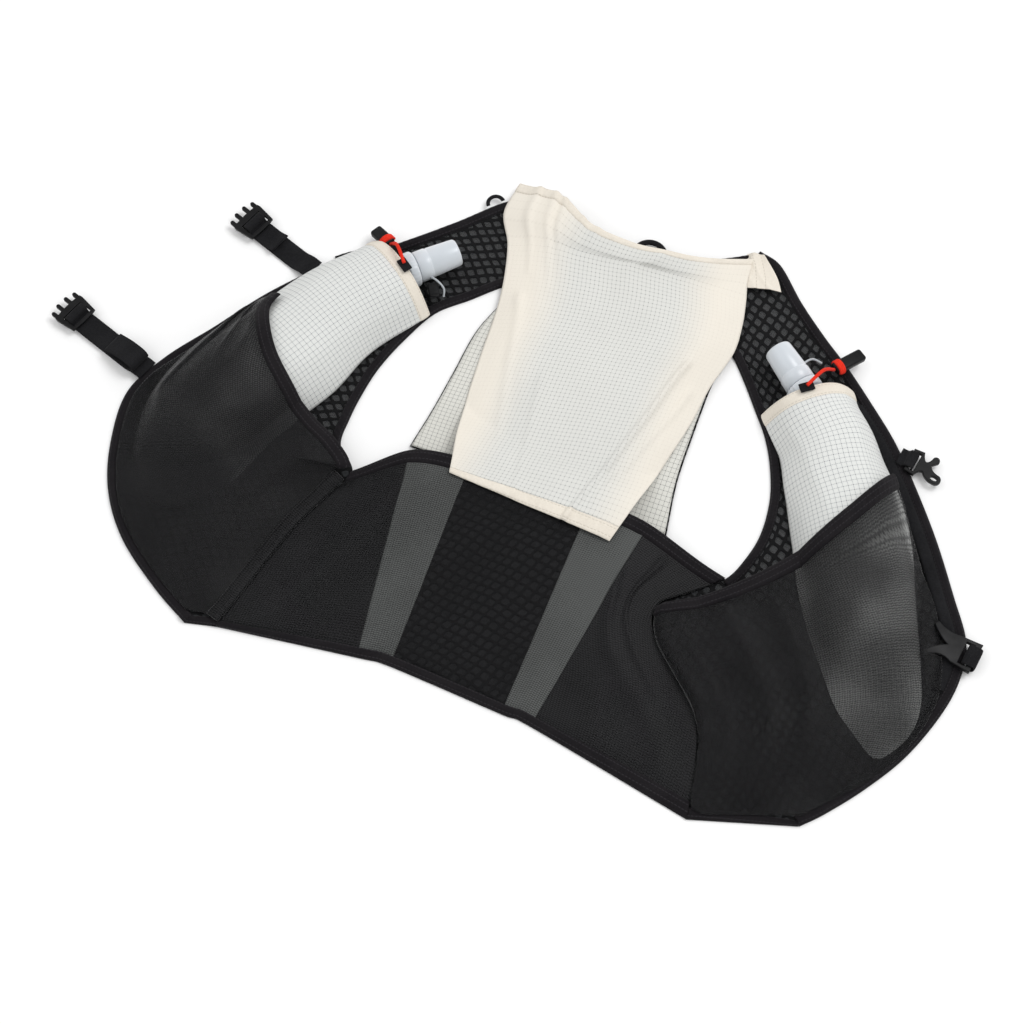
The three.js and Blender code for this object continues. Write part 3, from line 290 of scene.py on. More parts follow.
def new_object(name, vertices, faces, uv=None):
    mesh = bpy.data.meshes.new(name)
    mesh.from_pydata([tuple(v) for v in vertices], [], [tuple(f) for f in faces])
    if uv is not None:
        layer = mesh.uv_layers.new(name="cloth")
        loops = np.zeros(len(mesh.loops), int)
        mesh.loops.foreach_get("vertex_index", loops)
        layer.data.foreach_set("uv", np.asarray(uv, np.float32)[loops].ravel())
    mesh.polygons.foreach_set("use_smooth", [True] * len(mesh.polygons))
    mesh.update()
    return linked(name, mesh)


def shell(name, base, thickness, turn=None):
    """A closed thin wall from a grid of points (rows, columns) in millimetres. Its pattern runs
    along the cloth, or straight across the plan at an angle where turn is given."""
    rows, columns = base.shape[:2]
    normal = unit(np.cross(np.gradient(base, axis=1), np.gradient(base, axis=0)))
    if normal[..., 2].mean() < 0:
        normal = -normal
    over = base + normal * np.broadcast_to(thickness, (rows, columns))[..., None]
    if turn is None:
        middle = slice(columns // 2, columns // 2 + 1)
        wide = lengths(base, 1)
        wide -= wide[:, middle]
        uv = np.stack([wide, lengths(base, 0)[:, middle] + 0 * wide], axis=-1)
    else:
        c, s = math.cos(turn), math.sin(turn)
        uv = np.stack([base[..., 0] * c + base[..., 1] * s, base[..., 1] * c - base[..., 0] * s], axis=-1)
    k = rows * columns
    index = np.arange(k).reshape(rows, columns)
    a, b = index[:-1, :-1].ravel(), index[:-1, 1:].ravel()
    c, d = index[1:, 1:].ravel(), index[1:, :-1].ravel()
    rim = np.concatenate([index[0, :], index[1:, -1], index[-1, -2::-1], index[-2:0:-1, 0]])
    nxt = np.roll(rim, -1)
    faces = np.concatenate([np.stack([a, b, c, d], 1) + k, np.stack([a, d, c, b], 1),
                            np.stack([rim, nxt, nxt + k, rim + k], 1)])
    vertices = np.concatenate([base.reshape(-1, 3), over.reshape(-1, 3)]) * MM
    first = vertices[faces[0]]
    if np.cross(first[1] - first[0], first[2] - first[0])[2] < 0:
        faces = faces[:, ::-1]
    return new_object(name, vertices, faces, np.concatenate([uv.reshape(-1, 2)] * 2) * MM)


def tube(name, rings):
    """A closed surface through rings of points (rings, points) in millimetres."""
    index = np.arange(rings.shape[0] * rings.shape[1]).reshape(rings.shape[:2])
    nxt = np.roll(index, -1, axis=1)
    walls = np.stack([index[:-1].ravel(), nxt[:-1].ravel(), nxt[1:].ravel(), index[1:].ravel()], 1)
    wide = lengths(np.concatenate([rings, rings[:, :1]], axis=1), 1)[:, :-1]
    uv = np.stack([wide, lengths(rings, 0)[:, :1] + 0 * wide], axis=-1).reshape(-1, 2) * MM
    obj = new_object(name, rings.reshape(-1, 3) * MM, [*walls, index[0, ::-1], index[-1]], uv)
    bm = bmesh.new()
    bm.from_mesh(obj.data)
    bmesh.ops.recalc_face_normals(bm, faces=bm.faces)
    bm.to_mesh(obj.data)
    bm.free()
    return obj


def round_cord(name, path, radius, sides=12):
    tangent = unit(np.gradient(path, axis=0))
    side = unit(np.cross(tangent, UP + 1e-6))[:, None]
    top = np.cross(side[:, 0], tangent)[:, None]
    angle = around(sides)[None, :, None]
    return tube(name, path[:, None] + radius * (np.cos(angle) * side + np.sin(angle) * top))


def curved_cord(name, points, radius, sides=12):
    """A round cord along a smooth curve through a few points."""
    return round_cord(name, curve_point(points, np.linspace(0, 1, 40)), radius, sides)


def finish_piece(obj, material, slot, *replaced):
    obj.data.materials.clear()
    obj.data.materials.append(material)
    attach(obj, "root")
    if replaced:
        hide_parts(*replaced)
    return obj


# Materials
class Value:
    """A number or a colour in a node material, with the usual signs for its maths."""

    def __init__(self, look, socket):
        self.look = look
        self.socket = socket

    def math(self, operation, *others):
        return self.look.node("ShaderNodeMath", enumerate((self, *others)), operation=operation)

    def __add__(self, other):
        return self.math("ADD", other)

    def __sub__(self, other):
        return self.math("SUBTRACT", other)

    def __mul__(self, other):
        return self.math("MULTIPLY", other)

    def __truediv__(self, other):
        return self.math("DIVIDE", other)

    def __pow__(self, other):
        return self.math("POWER", other)

    def __abs__(self):
        return self.math("ABSOLUTE")

    def wave(self, period, shift=0.0):
        """A cosine from -1 to 1 with a period in millimetres."""
        return self.math("MULTIPLY_ADD", 2 * math.pi / period, shift).math("COSINE")

    def step(self, low, high, to_low=0.0, to_high=1.0):
        """A smooth step from one value to another."""
        return self.look.node("ShaderNodeMapRange", enumerate((self, low, high, to_low, to_high)),
                              interpolation_type="SMOOTHSTEP")


class Look:
    """A node material. Its pattern units are millimetres of cloth."""

    def __init__(self, name, colour, roughness, sheen=0.0, specular=0.3):
        self.material = bpy.data.materials.new(name)
        self.material.use_nodes = True
        self.tree = self.material.node_tree
        self.tree.nodes.clear()
        surface = self.tree.nodes.new("ShaderNodeOutputMaterial").inputs[0]
        self.bsdf = self.tree.nodes.new("ShaderNodeBsdfPrincipled")
        self.tree.links.new(self.bsdf.outputs[0], surface)
        for socket, value in (("Base Color", colour), ("Roughness", roughness), ("Sheen Weight", sheen),
                              ("Specular IOR Level", specular), ("Sheen Roughness", 0.5)):
            self.set(socket, value)

    def feed(self, socket, value):
        """Links a value to a socket, or sets the socket to a number or a colour."""
        if isinstance(value, Value):
            self.tree.links.new(value.socket, socket)
        else:
            socket.default_value = (*value, 1) if isinstance(value, tuple) else value

    def set(self, socket, value):
        self.feed(self.bsdf.inputs[socket], value)

    def node(self, kind, inputs=(), output=0, **settings):
        """One output of a new node, whose inputs are given in pairs of place and value."""
        node = self.tree.nodes.new(kind)
        for key, value in settings.items():
            setattr(node, key, value)
        for key, value in inputs:
            self.feed(node.inputs[key], value)
        return Value(self, node.outputs[output])

    def split(self, vector):
        x = self.node("ShaderNodeSeparateXYZ", [(0, vector)])
        return x, Value(self, x.socket.node.outputs[1])

    def uv(self):
        u, v = self.split(self.node("ShaderNodeUVMap", uv_map="cloth"))
        return u * 1000, v * 1000

    def where(self):
        return self.node("ShaderNodeTexCoord", output="Object")

    def grain(self, scale, detail=2.0):
        return self.node("ShaderNodeTexNoise",
                         [("Scale", scale), ("Detail", detail), ("Vector", self.where())])

    def blend(self, factor, a, b):
        return self.node("ShaderNodeMix", [(0, factor), (6, a), (7, b)], output=2, data_type="RGBA")

    def finished(self, colour, height, strength, distance):
        """The material, with its colour and its relief."""
        self.set("Base Color", colour)
        self.set("Normal", self.node("ShaderNodeBump", [("Height", height), ("Strength", strength),
                                                        ("Distance", distance)]))
        return self.material


def shaded(colour, share):
    return tuple(share * c for c in colour)


WARM_CREAM = (0.80, 0.745, 0.655)
DARK_END = (0.012, 0.012, 0.013)


def ripstop(name, cream, thread, strength, pitch=3.2, warm_at=None, dark_at=None):
    """Thin cream cloth with a grid of darker threads, dotted where the weave covers them. It is
    warmer past one distance from its middle, and black past one distance down."""
    look = Look(name, cream, 0.8, sheen=0.05, specular=0.2)
    u, v = look.uv()
    line_u, line_v = (x.wave(pitch).step(0.72, 0.98) for x in (u, v))
    dots_u, dots_v = (x.wave(pitch / 3).step(-0.7, 0.7, 0.12, 1.0) for x in (u, v))
    grid = (line_u * dots_v).math("MAXIMUM", line_v * dots_u)
    cloudy = look.grain(18, 3.0).step(0.3, 0.7)
    ground = look.blend(cloudy * 0.25, cream, shaded(cream, 0.86))
    lines = look.blend(grid * strength, ground, thread)
    colour = look.blend(line_u * line_v * 0.95, lines, shaded(thread, 0.35))
    if warm_at:
        colour = look.blend(abs(u).step(warm_at, warm_at + 34, 0.0, 0.85), colour, WARM_CREAM)
    if dark_at:
        colour = look.blend(v.step(dark_at, dark_at + 45, 0.0, 0.95), colour, DARK_END)
    weave = u.wave(0.42) * v.wave(0.42)
    return look.finished(colour, weave * 0.15 + (grid * 0.6 + look.grain(420) * 0.5), 0.35, 0.00025)


def plain_cloth(name, colour, second, rib=0.6, stitch_at=None, thread=None):
    """Matt folded cloth or tape with fine ribs across it, and a row of stitches near each edge."""
    look = Look(name, colour, 0.85, sheen=0.03, specular=0.12)
    u, v = look.uv()
    mottled = look.grain(55, 3.0).step(0.3, 0.7)
    fine = look.grain(900, 1.0).step(0.35, 0.65)
    shade = look.blend(mottled * 0.5 + fine * 0.4, colour, second)
    relief = v.wave(rib) * 0.5 + (u.wave(rib * 0.8) * 0.3 + fine * 0.6)
    if stitch_at:
        away = abs(abs(u) - stitch_at)
        stitch = away.step(0.12, 0.38, 1.0, 0.0) * v.wave(2.4).step(-0.7, -0.2)
        shade = look.blend(stitch, shade, thread)
        relief = relief + away.step(0.1, 0.9, 1.0, 0.0) * -2.2
    return look.finished(shade, relief, 0.4, 0.0002)


def net(name, strand, cell, cover, pitch=6.1, soft=0.12):
    """Knit with skewed square cells: dark strands, and cells closed by a thinner lighter knit."""
    look = Look(name, strand, 0.8, sheen=0.02, specular=0.12)
    u, v = look.uv()
    warp = look.grain(28, 1.0).step(0.2, 0.8) * 3.0
    a = (u + v * 0.42 + warp) / pitch
    b = (v + u * -0.12 + warp) / (pitch * 0.94)
    away_a, away_b = (abs(x.math("FRACT") - 0.5) for x in (a, b))
    strands = ((away_a ** 4.0 + away_b ** 4.0) ** (1 / 4)).step(0.29, 0.29 + soft)
    knit = u.wave(0.9) * v.wave(0.7)
    holes = knit.step(-0.3, 0.5, cover * 0.75, min(1.0, cover * 1.25))
    # The knit is doubled below the arms
    doubled = look.split(look.where())[1].step(-0.015, 0.02, 0.9, 0.0)
    look.set("Alpha", strands.math("MAXIMUM", holes).math("MAXIMUM", doubled))
    shade = look.blend(look.grain(40, 2.0).step(0.3, 0.7, 0.6, 1.0), shaded(cell, 0.5), cell)
    return look.finished(look.blend(strands, shade, strand), strands + knit * 0.12, 0.8, 0.0007)


def fine_mesh(name, colour, second, cover, rib=1.35):
    """Thin stretch mesh with fine wavy ribs. Cover is how much of it is thread."""
    look = Look(name, colour, 0.52, sheen=0.2, specular=0.125)
    look.set("Sheen Roughness", 0.35)
    u, v = look.uv()
    knit = v.wave(rib, u.wave(rib * 2.4) * 0.9) * 0.6 + u.wave(rib * 1.2) * 0.4
    thread = knit.step(-0.5, 0.6)
    cloudy = look.grain(22, 3.0).step(0.3, 0.7)
    # Slack and stretched places let through less and more
    slack = look.grain(17, 2.0).step(0.34, 0.66, -0.05, 0.06)
    alpha = knit.step(-0.5, 0.6, cover * 0.8, min(1.0, cover * 1.16)) + slack
    look.set("Alpha", alpha.step(0.0, 1.0))
    shade = look.blend(thread * 0.6 + cloudy * 0.3, colour, second)
    return look.finished(shade, thread * 0.6 + look.grain(120, 2.0) * 1.4, 0.25, 0.00015)


def plastic(name, colour, roughness):
    """Moulded plastic, unevenly worn."""
    look = Look(name, colour, roughness, specular=0.14)
    look.set("Roughness", look.grain(90, 2.0).step(0.3, 0.7, roughness - 0.08, roughness + 0.1))
    worn = look.grain(160, 3.0).step(0.3, 0.75)
    shade = look.blend(worn * 0.5, colour, tuple(1.7 * c + 0.004 for c in colour))
    return look.finished(shade, look.grain(1400, 2.0), 0.12, 0.0002)


def frosted(name, colour, edge, alpha=1.0):
    """Cloudy moulded plastic, with a painted sheen: its colour turns lighter where the surface is seen
    edge-on, along its rims.
    """
    look = Look(name, colour, 0.32, specular=0.5)
    for socket, value in (("Coat Weight", 0.3), ("Coat Roughness", 0.2), ("Alpha", alpha)):
        look.set(socket, value)
    # Painted sheen: the colour blends to the lighter edge colour where the surface is seen edge-on
    rim = look.node("ShaderNodeLayerWeight", [(0, 0.35)], output=1)
    cloudy = look.grain(60, 3.0).step(0.3, 0.7)
    body = look.blend(cloudy * 0.35, colour, shaded(colour, 0.88))
    return look.finished(look.blend(rim, body, edge), look.grain(700, 2.0), 0.08, 0.0002)


STRAND = (0.0055, 0.0055, 0.006)
THREAD = (0.005, 0.005, 0.0055)
cream_flap = ripstop("cream_flap", (0.675, 0.675, 0.645), (0.36, 0.37, 0.36), 0.45, pitch=2.8, warm_at=30)
cream_pockets = {
    side: ripstop(f"cream_pocket_{side}", (0.70, 0.71, 0.69), (0.22, 0.24, 0.27), 0.6, dark_at=dark_at)
    for side, dark_at in (("left", 150), ("right", None))
}
cream_under = ripstop("cream_under", (0.66, 0.655, 0.61), (0.20, 0.20, 0.19), 0.65, pitch=3.0)
cream_tape = plain_cloth("cream_tape", WARM_CREAM, (0.72, 0.665, 0.58), 0.5, 3.1, (0.6, 0.55, 0.47))
black_net = net("black_net", STRAND, (0.034, 0.036, 0.038), 0.58, pitch=6.4)
base_net = net("base_net", STRAND, (0.014, 0.014, 0.015), 0.86)
pocket_net = net("pocket_net", STRAND, (0.012, 0.012, 0.013), 0.88, soft=0.14)
side_mesh = fine_mesh("side_mesh", THREAD, (0.018, 0.018, 0.019), 0.52)
dark_mesh = fine_mesh("dark_mesh", THREAD, (0.017, 0.017, 0.018), 0.62)
wing_mesh = fine_mesh("wing_mesh", THREAD, (0.013, 0.013, 0.014), 0.84, rib=1.5)
stripe_mesh = fine_mesh("stripe_mesh", (0.042, 0.044, 0.043), (0.095, 0.099, 0.097), 0.86, rib=1.3)
tape = plain_cloth("tape", (0.0065, 0.0055, 0.007), (0.013, 0.0115, 0.013), 0.6, 2.1,
                   (0.026, 0.024, 0.027))
webbing = plain_cloth("webbing", (0.006, 0.006, 0.007), (0.014, 0.014, 0.0155), rib=1.1)
black_plastic = plastic("black_plastic", (0.006, 0.006, 0.0065), 0.36)
# The second colour of each frosted piece is its painted rim sheen
cap_look = frosted("cap_look", (0.56, 0.60, 0.64), (0.78, 0.80, 0.83))
film = frosted("film", (0.55, 0.62, 0.68), (0.8, 0.84, 0.88), alpha=0.55)
clear_cord = frosted("clear_cord", (0.42, 0.45, 0.48), (0.75, 0.78, 0.8), alpha=0.85)
red_braid = plain_cloth("red_braid", (0.80, 0.035, 0.015), (0.55, 0.02, 0.01), rib=0.7)


# Sheets and tapes
def grid(rows, columns, v_span=(0.0, 1.0)):
    """Shares u and v over a grid of rows along v and columns along u."""
    v, u = np.meshgrid(np.linspace(*v_span, rows + 1), np.linspace(0, 1, columns + 1), indexing="ij")
    return u, v


def lift(p, z):
    return np.concatenate([p, np.broadcast_to(z, p.shape[:-1])[..., None]], axis=-1)


def cloth(name, points, material, slot, node, held, *rests_on, wall=FABRIC, turn=None):
    """A panel cut from flat cloth, as a thin shell."""
    obj = finish_piece(shell(name, points, wall, turn), material, slot, node)


def band_thickness(thickness):
    """A tape's thickness across it: full in the middle, thin at both edges."""
    s = np.linspace(-1, 1, TAPE_COLUMNS + 1)
    return thickness * (0.25 + 0.75 * (1 - np.abs(s) ** 4.0))[None, :]


def pucker(along, across, seed):
    """Small gathers of a sewn tape along its length."""
    return 0.14 * np.sin(2 * np.pi * along / PUCKER_PITCH + 2.2 * noise(along / 18, across, seed)) \
        + 0.16 * noise(along / 9, across * 2, seed + 3)


def tape_along(name, plan, height, v_span, rows, thickness, seed, *replaced, slot="binding_tape",
               material=tape):
    """A sewn tape over a plan, thin at its edges."""
    u, v = grid(rows, TAPE_COLUMNS, v_span)
    p = plan(u, v)
    base = lift(p, height(p, u, v))
    gathers = pucker(lengths(base, 0), u, seed) * (1 - np.abs(2 * u - 1) ** 6)
    obj = shell(name, base, np.maximum(band_thickness(thickness) + gathers, 0.25))
    finish_piece(obj, material, slot, *replaced)


def end_tape(name, plan, width, height, rows, thickness, seed, node, at_end=False, **look):
    """A tape along the start of a plan, or along its end."""
    def shares(u, v):
        share = u * width / plan_length(plan, v)
        return v, 1 - share if at_end else share
    tape_along(name, lambda u, v: plan(*shares(u, v)), lambda p, u, v: height(p, *shares(u, v)),
               (0, 1), rows, thickness, seed, node, **look)


def on_floor(p, u, v):
    return 0 * u


# Fronts
LEFT_FRONT_ROWS = [
    (-16.0, 56.0, -11.6, 40.2), (-18.4, 52.9, -13.4, 38.3), (-21.6, 47.8, -16.2, 34.1),
    (-25.2, 42.6, -19.4, 29.4), (-28.9, 37.6, -21.4, 22.8), (-32.7, 33.4, -22.7, 16.5),
    (-35.9, 28.4, -23.2, 11.0), (-39.6, 21.5, -23.3, 5.6), (-43.2, 13.0, -22.9, 0.6),
    (-46.9, 4.6, -20.3, -3.4), (-49.1, -3.7, -21.5, -8.8), (-48.1, -13.0, -23.2, -15.0),
    (-45.6, -21.4, -24.4, -21.4), (-41.4, -28.4, -25.4, -27.9), (-35.4, -34.2, -26.2, -33.0),
    (-30.4, -37.9, -26.9, -36.6),
]
RIGHT_FRONT_ROWS = [
    (14.0, 61.6, 13.8, 41.8), (16.9, 60.2, 15.6, 40.6), (20.9, 54.7, 18.0, 36.9),
    (25.0, 49.9, 20.5, 32.5), (28.9, 45.8, 22.8, 28.3), (33.0, 40.9, 24.6, 23.6),
    (37.2, 35.5, 26.0, 18.0), (41.2, 29.0, 26.5, 11.6), (45.5, 21.2, 25.9, 6.3),
    (49.4, 13.0, 24.6, 1.8), (52.5, 6.0, 21.4, -2.7), (53.2, -0.5, 18.6, -6.8),
    (52.5, -7.4, 19.0, -11.2), (50.4, -16.0, 22.6, -16.4), (47.4, -23.4, 27.0, -22.0),
    (44.2, -29.6, 29.0, -29.0), (42.1, -32.9, 30.4, -38.4),
]
FIRST_FOLD_ROW = 9
ARMHOLE_END = 17 / 30
left_front = strip(LEFT_FRONT_ROWS)
right_front = strip(RIGHT_FRONT_ROWS)


def fold_of(front, rows):
    last = len(rows) - 1
    return lambda v: front(np.ones_like(v), (FIRST_FOLD_ROW + v * (last - FIRST_FOLD_ROW)) / last)


left_fold = fold_of(left_front, LEFT_FRONT_ROWS)
right_fold = fold_of(right_front, RIGHT_FRONT_ROWS)


def build_fronts():
    for side, plan, turn, seed in (("left", left_front, 0.35, 3), ("right", right_front, -0.5, 9)):
        u, v = grid(150, 36)
        p = drawn_in(plan, NET_INSET, lambda w: np.where(w < ARMHOLE_END, NET_INSET, -FOLD_GAP / 2))(u, v)
        z = 0.25 + 0.3 * (1 + rumple(p, 42, seed)) * np.sin(np.pi * u) ** 0.5
        cloth(f"{side}_front_net", lift(p, z), black_net, "black_net", f"{side}_front_panel", "laid",
              wall=NET_WALL, turn=turn)
        tape_along(f"{side}_outer_tape", edge_plan(plan, "left", 0, WIDE_TAPE), on_floor, (0, 1), 380,
                   BINDING_THICKNESS, seed, f"{side}_outer_binding")
        tape_along(f"{side}_armhole_tape", edge_plan(plan, "right", 0, WIDE_TAPE - 0.8), on_floor,
                   (0, ARMHOLE_END), 240, BINDING_THICKNESS, seed + 1, f"{side}_armhole_binding")
        # The lower edge, from the outer tape to the fold
        tape_along(f"{side}_lower_tape", end_band(plan, WIDE_TAPE), on_floor, (0.01, 1), 60, 2.6, seed + 2)


# Back
yoke = strip([
    (-15.2, 55.6, 13.2, 60.6, 0.4, 53.4), (-13.0, 47.6, 13.2, 51.0), (-11.0, 40.4, 13.3, 42.0),
    (-12.6, 34.6, 14.6, 38.0), (-13.8, 28.5, 14.6, 32.4), (-14.2, 20.0, 14.8, 24.4),
    (-14.6, 12.0, 15.2, 15.0), (-15.2, 4.6, 16.4, 5.2, 0.5, 5.2),
])
POCKET_TOP = spread([(-20.3, -3.4), (-14.7, 3.2), (-7.4, 4.6), (7.3, 5.4), (14.4, 5.0), (24.6, 1.8)])
POCKET_HEM = spread([(-26.9, -36.6), (-10.6, -33.0), (-6.7, -32.4), (7.0, -33.2), (10.6, -33.4),
                     (30.4, -38.4)])


def lower_back(u, v):
    u, v = np.clip(u, 0, 1), np.clip(v, 0, 1)

    def straight(w):
        return (curve_point(POCKET_TOP, w, 0.4) * (1 - v)[..., None]
                + curve_point(POCKET_HEM, w, 0.4) * v[..., None])
    p = straight(u)
    p = p + (left_fold(v) - straight(0 * u)) * (1 - smooth(0, 0.2, u))[..., None]
    return p + (right_fold(v) - straight(0 * u + 1)) * smooth(0.8, 1, u)[..., None]


def back_pocket_height(p):
    along = 100 * p[..., 0] / BODY_WIDTH
    up = 100 * p[..., 1] / BODY_LENGTH
    sides = smooth(-21, -9, along) * (1 - smooth(12, 23, along))
    return ON_NET + BACK_POCKET_DEPTH * sides * smooth(-33, 3, up)


flap_sheet = strip([
    (-16.6, 57.8, 13.8, 59.4, 0.6, 52.4), (-16.9, 51.4, 13.9, 55.0, 0.4, 49.6),
    (-14.8, 46.0, 14.7, 50.8), (-13.4, 39.6, 15.4, 46.2), (-12.6, 33.3, 15.7, 40.6),
    (-12.1, 25.3, 14.7, 33.4), (-11.5, 17.2, 14.2, 25.6), (-10.6, 9.6, 13.3, 17.9),
    (-9.7, 4.2, 12.3, 8.6), (-9.2, 1.0, 11.0, -0.6, 0.9, 0.2),
])
# The cloth is pulled higher just beside its left top corner
FLAP_GATHER = (0.14, 0.11)


def flap_gather(u, v):
    middle, wide = FLAP_GATHER
    return np.exp(-((np.asarray(u, float) - middle) / wide) ** 2) * (1 - smooth(0.0, 0.32, v))


def flap(u, v):
    return flap_sheet(u, v) + 7.0 * flap_gather(u, v)[..., None] * np.array([0.35, 0.94])


FLAP_CREASES = [
    (0.10, 0.0, 0.16, 0.42, 0.045, 2.4, 0.4), (0.21, 0.0, 0.24, 0.34, 0.04, 1.8, 0.4),
    (0.62, 0.02, 0.50, 0.40, 0.07, 1.6, 0.4), (0.92, 0.30, 0.72, 0.98, 0.06, 2.6, 0.4),
    (0.10, 0.45, 0.42, 0.95, 0.08, 1.6, 0.4),
]
# Sharper folds of the thin cloth, in the same shares
FLAP_FOLDS = [
    (0.07, 0.0, 0.10, 0.30, 0.012, 1.5, 0.2), (0.13, 0.0, 0.19, 0.36, 0.012, 1.3, 0.2),
    (0.17, 0.0, 0.22, 0.26, 0.010, 1.2, 0.1), (0.26, 0.0, 0.27, 0.20, 0.012, 1.0, 0.1),
    (0.33, 0.0, 0.31, 0.16, 0.014, 0.8, 0.1), (0.86, 0.52, 0.71, 0.99, 0.014, 1.6, 0.7),
    (0.93, 0.60, 0.80, 0.93, 0.016, 0.9, 0.5), (0.60, 0.05, 0.47, 0.34, 0.025, 0.7, 0.2),
    (0.30, 0.62, 0.38, 0.97, 0.02, 0.7, 0.6), (0.08, 0.40, 0.20, 0.80, 0.02, 0.8, 0.4),
]


def flap_height(p, u, v):
    arch = np.maximum(1 - np.abs(2 * u - 1) ** DOME_POWER, 0)
    mouth = 1 - 0.55 * smooth(0, 0.35, v)
    own = ON_UNDERLAY + arch * FLAP_RISE * mouth + creases(FLAP_CREASES, u, v) * arch
    over = back_pocket_height(p) + HEM_THICKNESS + 2 * LAYER_GAP
    near = 1 - smooth(0.06, 0.16, p[..., 1] / BODY_LENGTH)
    z = np.maximum(own, ON_UNDERLAY * (1 - near) + over * near)
    soft = np.minimum(1, arch * 3)
    z = z + 1.7 * creases(FLAP_FOLDS, u, v) * soft
    z = z + soft * (0.95 * rumple(p, 46, 21, 0.4, 2.2) + 0.3 * rumple(p, 15, 5) + 0.7)
    return z + 4.5 * flap_gather(u, v)


# The back pocket's panels, between shares of its width, with their grid columns and seeds
POCKET_PANELS = [
    ("left_wing", 0.0, 0.2, "mesh_cloth", wing_mesh, 60, 11),
    ("stripe_left", 0.2, 0.4, "stripe_cloth", stripe_mesh, 30, 12),
    ("back_pocket_center", 0.4, 0.6, "black_net", pocket_net, 54, 13),
    ("stripe_right", 0.6, 0.8, "stripe_cloth", stripe_mesh, 30, 14),
    ("right_wing", 0.8, 1.0, "mesh_cloth", wing_mesh, 70, 15),
]
WING_FOLDS = {
    "left_wing": [(0.9, 0.1, 0.2, 0.8, 0.08, 1.3, 0.6)],
    "right_wing": [(0.0, 0.25, 0.75, 0.9, 0.07, 1.6, 0.6), (0.4, 0.0, 0.7, 0.7, 0.05, 1.3, 0.4)],
}


def lower_sheet(u_from, u_to, side_inset, start, end, rows, columns):
    """Plan points of the lower back between two places along it, drawn in at its outer sides."""
    u, v = grid(rows, columns)
    length = plan_length(lower_back, u_from + u * (u_to - u_from))
    down = start / length + v * (1 - (start + end) / length)
    width = norm(lower_back(0 * u + u_from, down) - lower_back(0 * u + u_to, down))
    low = u_from + side_inset * (u_from == 0) / width * (u_to - u_from)
    high = u_to - side_inset * (u_to == 1) / width * (u_to - u_from)
    return lower_back(low + u * (high - low), down), u, v


def build_back():
    u, v = grid(110, 60)
    p = inset_plan(yoke, 1.5, 4.0, (-0.004, 1.004))(u, v)
    cloth("back_net", lift(p, 0.2 + 0.25 * (1 + rumple(p, 50, 31))), black_net, "black_net", "back_body",
          "laid", wall=NET_WALL, turn=0.1)
    end_tape("neck_tape", yoke, BINDING_WIDTH, on_floor, 170, BINDING_THICKNESS, 41, "neck_binding")
    u, v = grid(90, 60, (0.12, 0.998))
    p = drawn_in(yoke, LAYER_GAP, LAYER_GAP)(u, v)
    z = ON_NET + 0.1 + 0.2 * (1 + rumple(p, 34, 33)) * np.sin(np.pi * u) ** 0.5
    cloth("underlay_cloth", lift(p, z), cream_under, "cream_cloth", "back_underlay", "laid", "back_net")
    p, u, v = lower_sheet(0, 1, -FOLD_GAP / 2, -0.8, 1.5, 70, 130)
    cloth("waist_net", lift(p, 0.2 + 0.25 * (1 + rumple(p, 50, 35))), base_net, "black_net", "waist_panel",
          "laid", wall=NET_WALL, turn=0.3)
    end_tape("hem_tape", lower_back, WIDE_TAPE, on_floor, 300, BINDING_THICKNESS, 43, "hem_binding",
             at_end=True)


def build_back_pocket():
    for name, low, high, slot, look, columns, seed in POCKET_PANELS:
        p, u, v = lower_sheet(low, high, -0.6, POCKET_BAND_WIDTH - 1.0, 4.6, 110, columns)
        sides = np.sin(np.pi * np.clip(u, 0, 1)) ** 0.4
        ends = smooth(0, 0.08, v) * smooth(0, 0.08, 1 - v)
        drape = 0.5 + 0.55 * rumple(p, 60, seed, 1.2, 2.5) + 0.15 * rumple(p, 16, seed + 1)
        z = back_pocket_height(p) + ends * drape * sides + ends * creases(WING_FOLDS.get(name, []), u, v)
        # A stitched ridge where neighbouring panels meet
        ridge = np.exp(-(u * 18) ** 2) * (low > 0) + np.exp(-((1 - u) * 18) ** 2) * (high < 1)
        tuck = smooth(0.955, 1, v)
        cloth(f"{name}_cloth", lift(p, z + 0.35 * ridge - tuck), look, slot, name, "laid", "waist_net")
    end_tape("pocket_band", lower_back, POCKET_BAND_WIDTH, lambda p, u, v: back_pocket_height(p) + 0.2, 300,
             HEM_THICKNESS, 45, "back_pocket_band")


CORNER_FOLDS = [(0.2, 0.1, 0.7, 0.95, 0.06, 1.0, 0.6), (0.1, 0.5, 0.35, 1.0, 0.05, 0.9, 0.6)]


def build_flap():
    under_hem = FLAP_HEM_WIDTH - 0.4
    u, v = grid(200, 120)
    p = inset_plan(flap, under_hem, -under_hem)(u, v)
    length = plan_length(flap, u)
    down = under_hem / length + v * (1 - 2 * under_hem / length)
    cloth("flap_cloth", lift(p, flap_height(p, u, down)), cream_flap, "cream_cloth", "back_flap", "draped",
          "underlay_cloth")
    for end in ("top", "bottom"):
        end_tape(f"flap_{end}_tape", flap, FLAP_HEM_WIDTH, flap_height, 150, 1.0, 51, f"flap_{end}_hem",
                 at_end=end == "bottom", slot="cream_cloth", material=cream_tape)
    corner = strip([(12.6, 60.0, 14.6, 60.6), (13.0, 56.6, 17.0, 57.2), (13.4, 53.4, 18.2, 54.8)])
    u, v = grid(40, 40)
    outward = smooth(0, 0.4, u)
    z = ON_NET + 1.7 * outward + 1.3 * outward * np.sin(np.pi * (u * 1.3 + v * 0.6)) ** 2 \
        + creases(CORNER_FOLDS, u, v) * outward
    tip = shell("flap_corner_cloth", lift(corner(u, v), z), FABRIC)
    finish_piece(tip, cream_tape, "cream_cloth", "flap_corner")


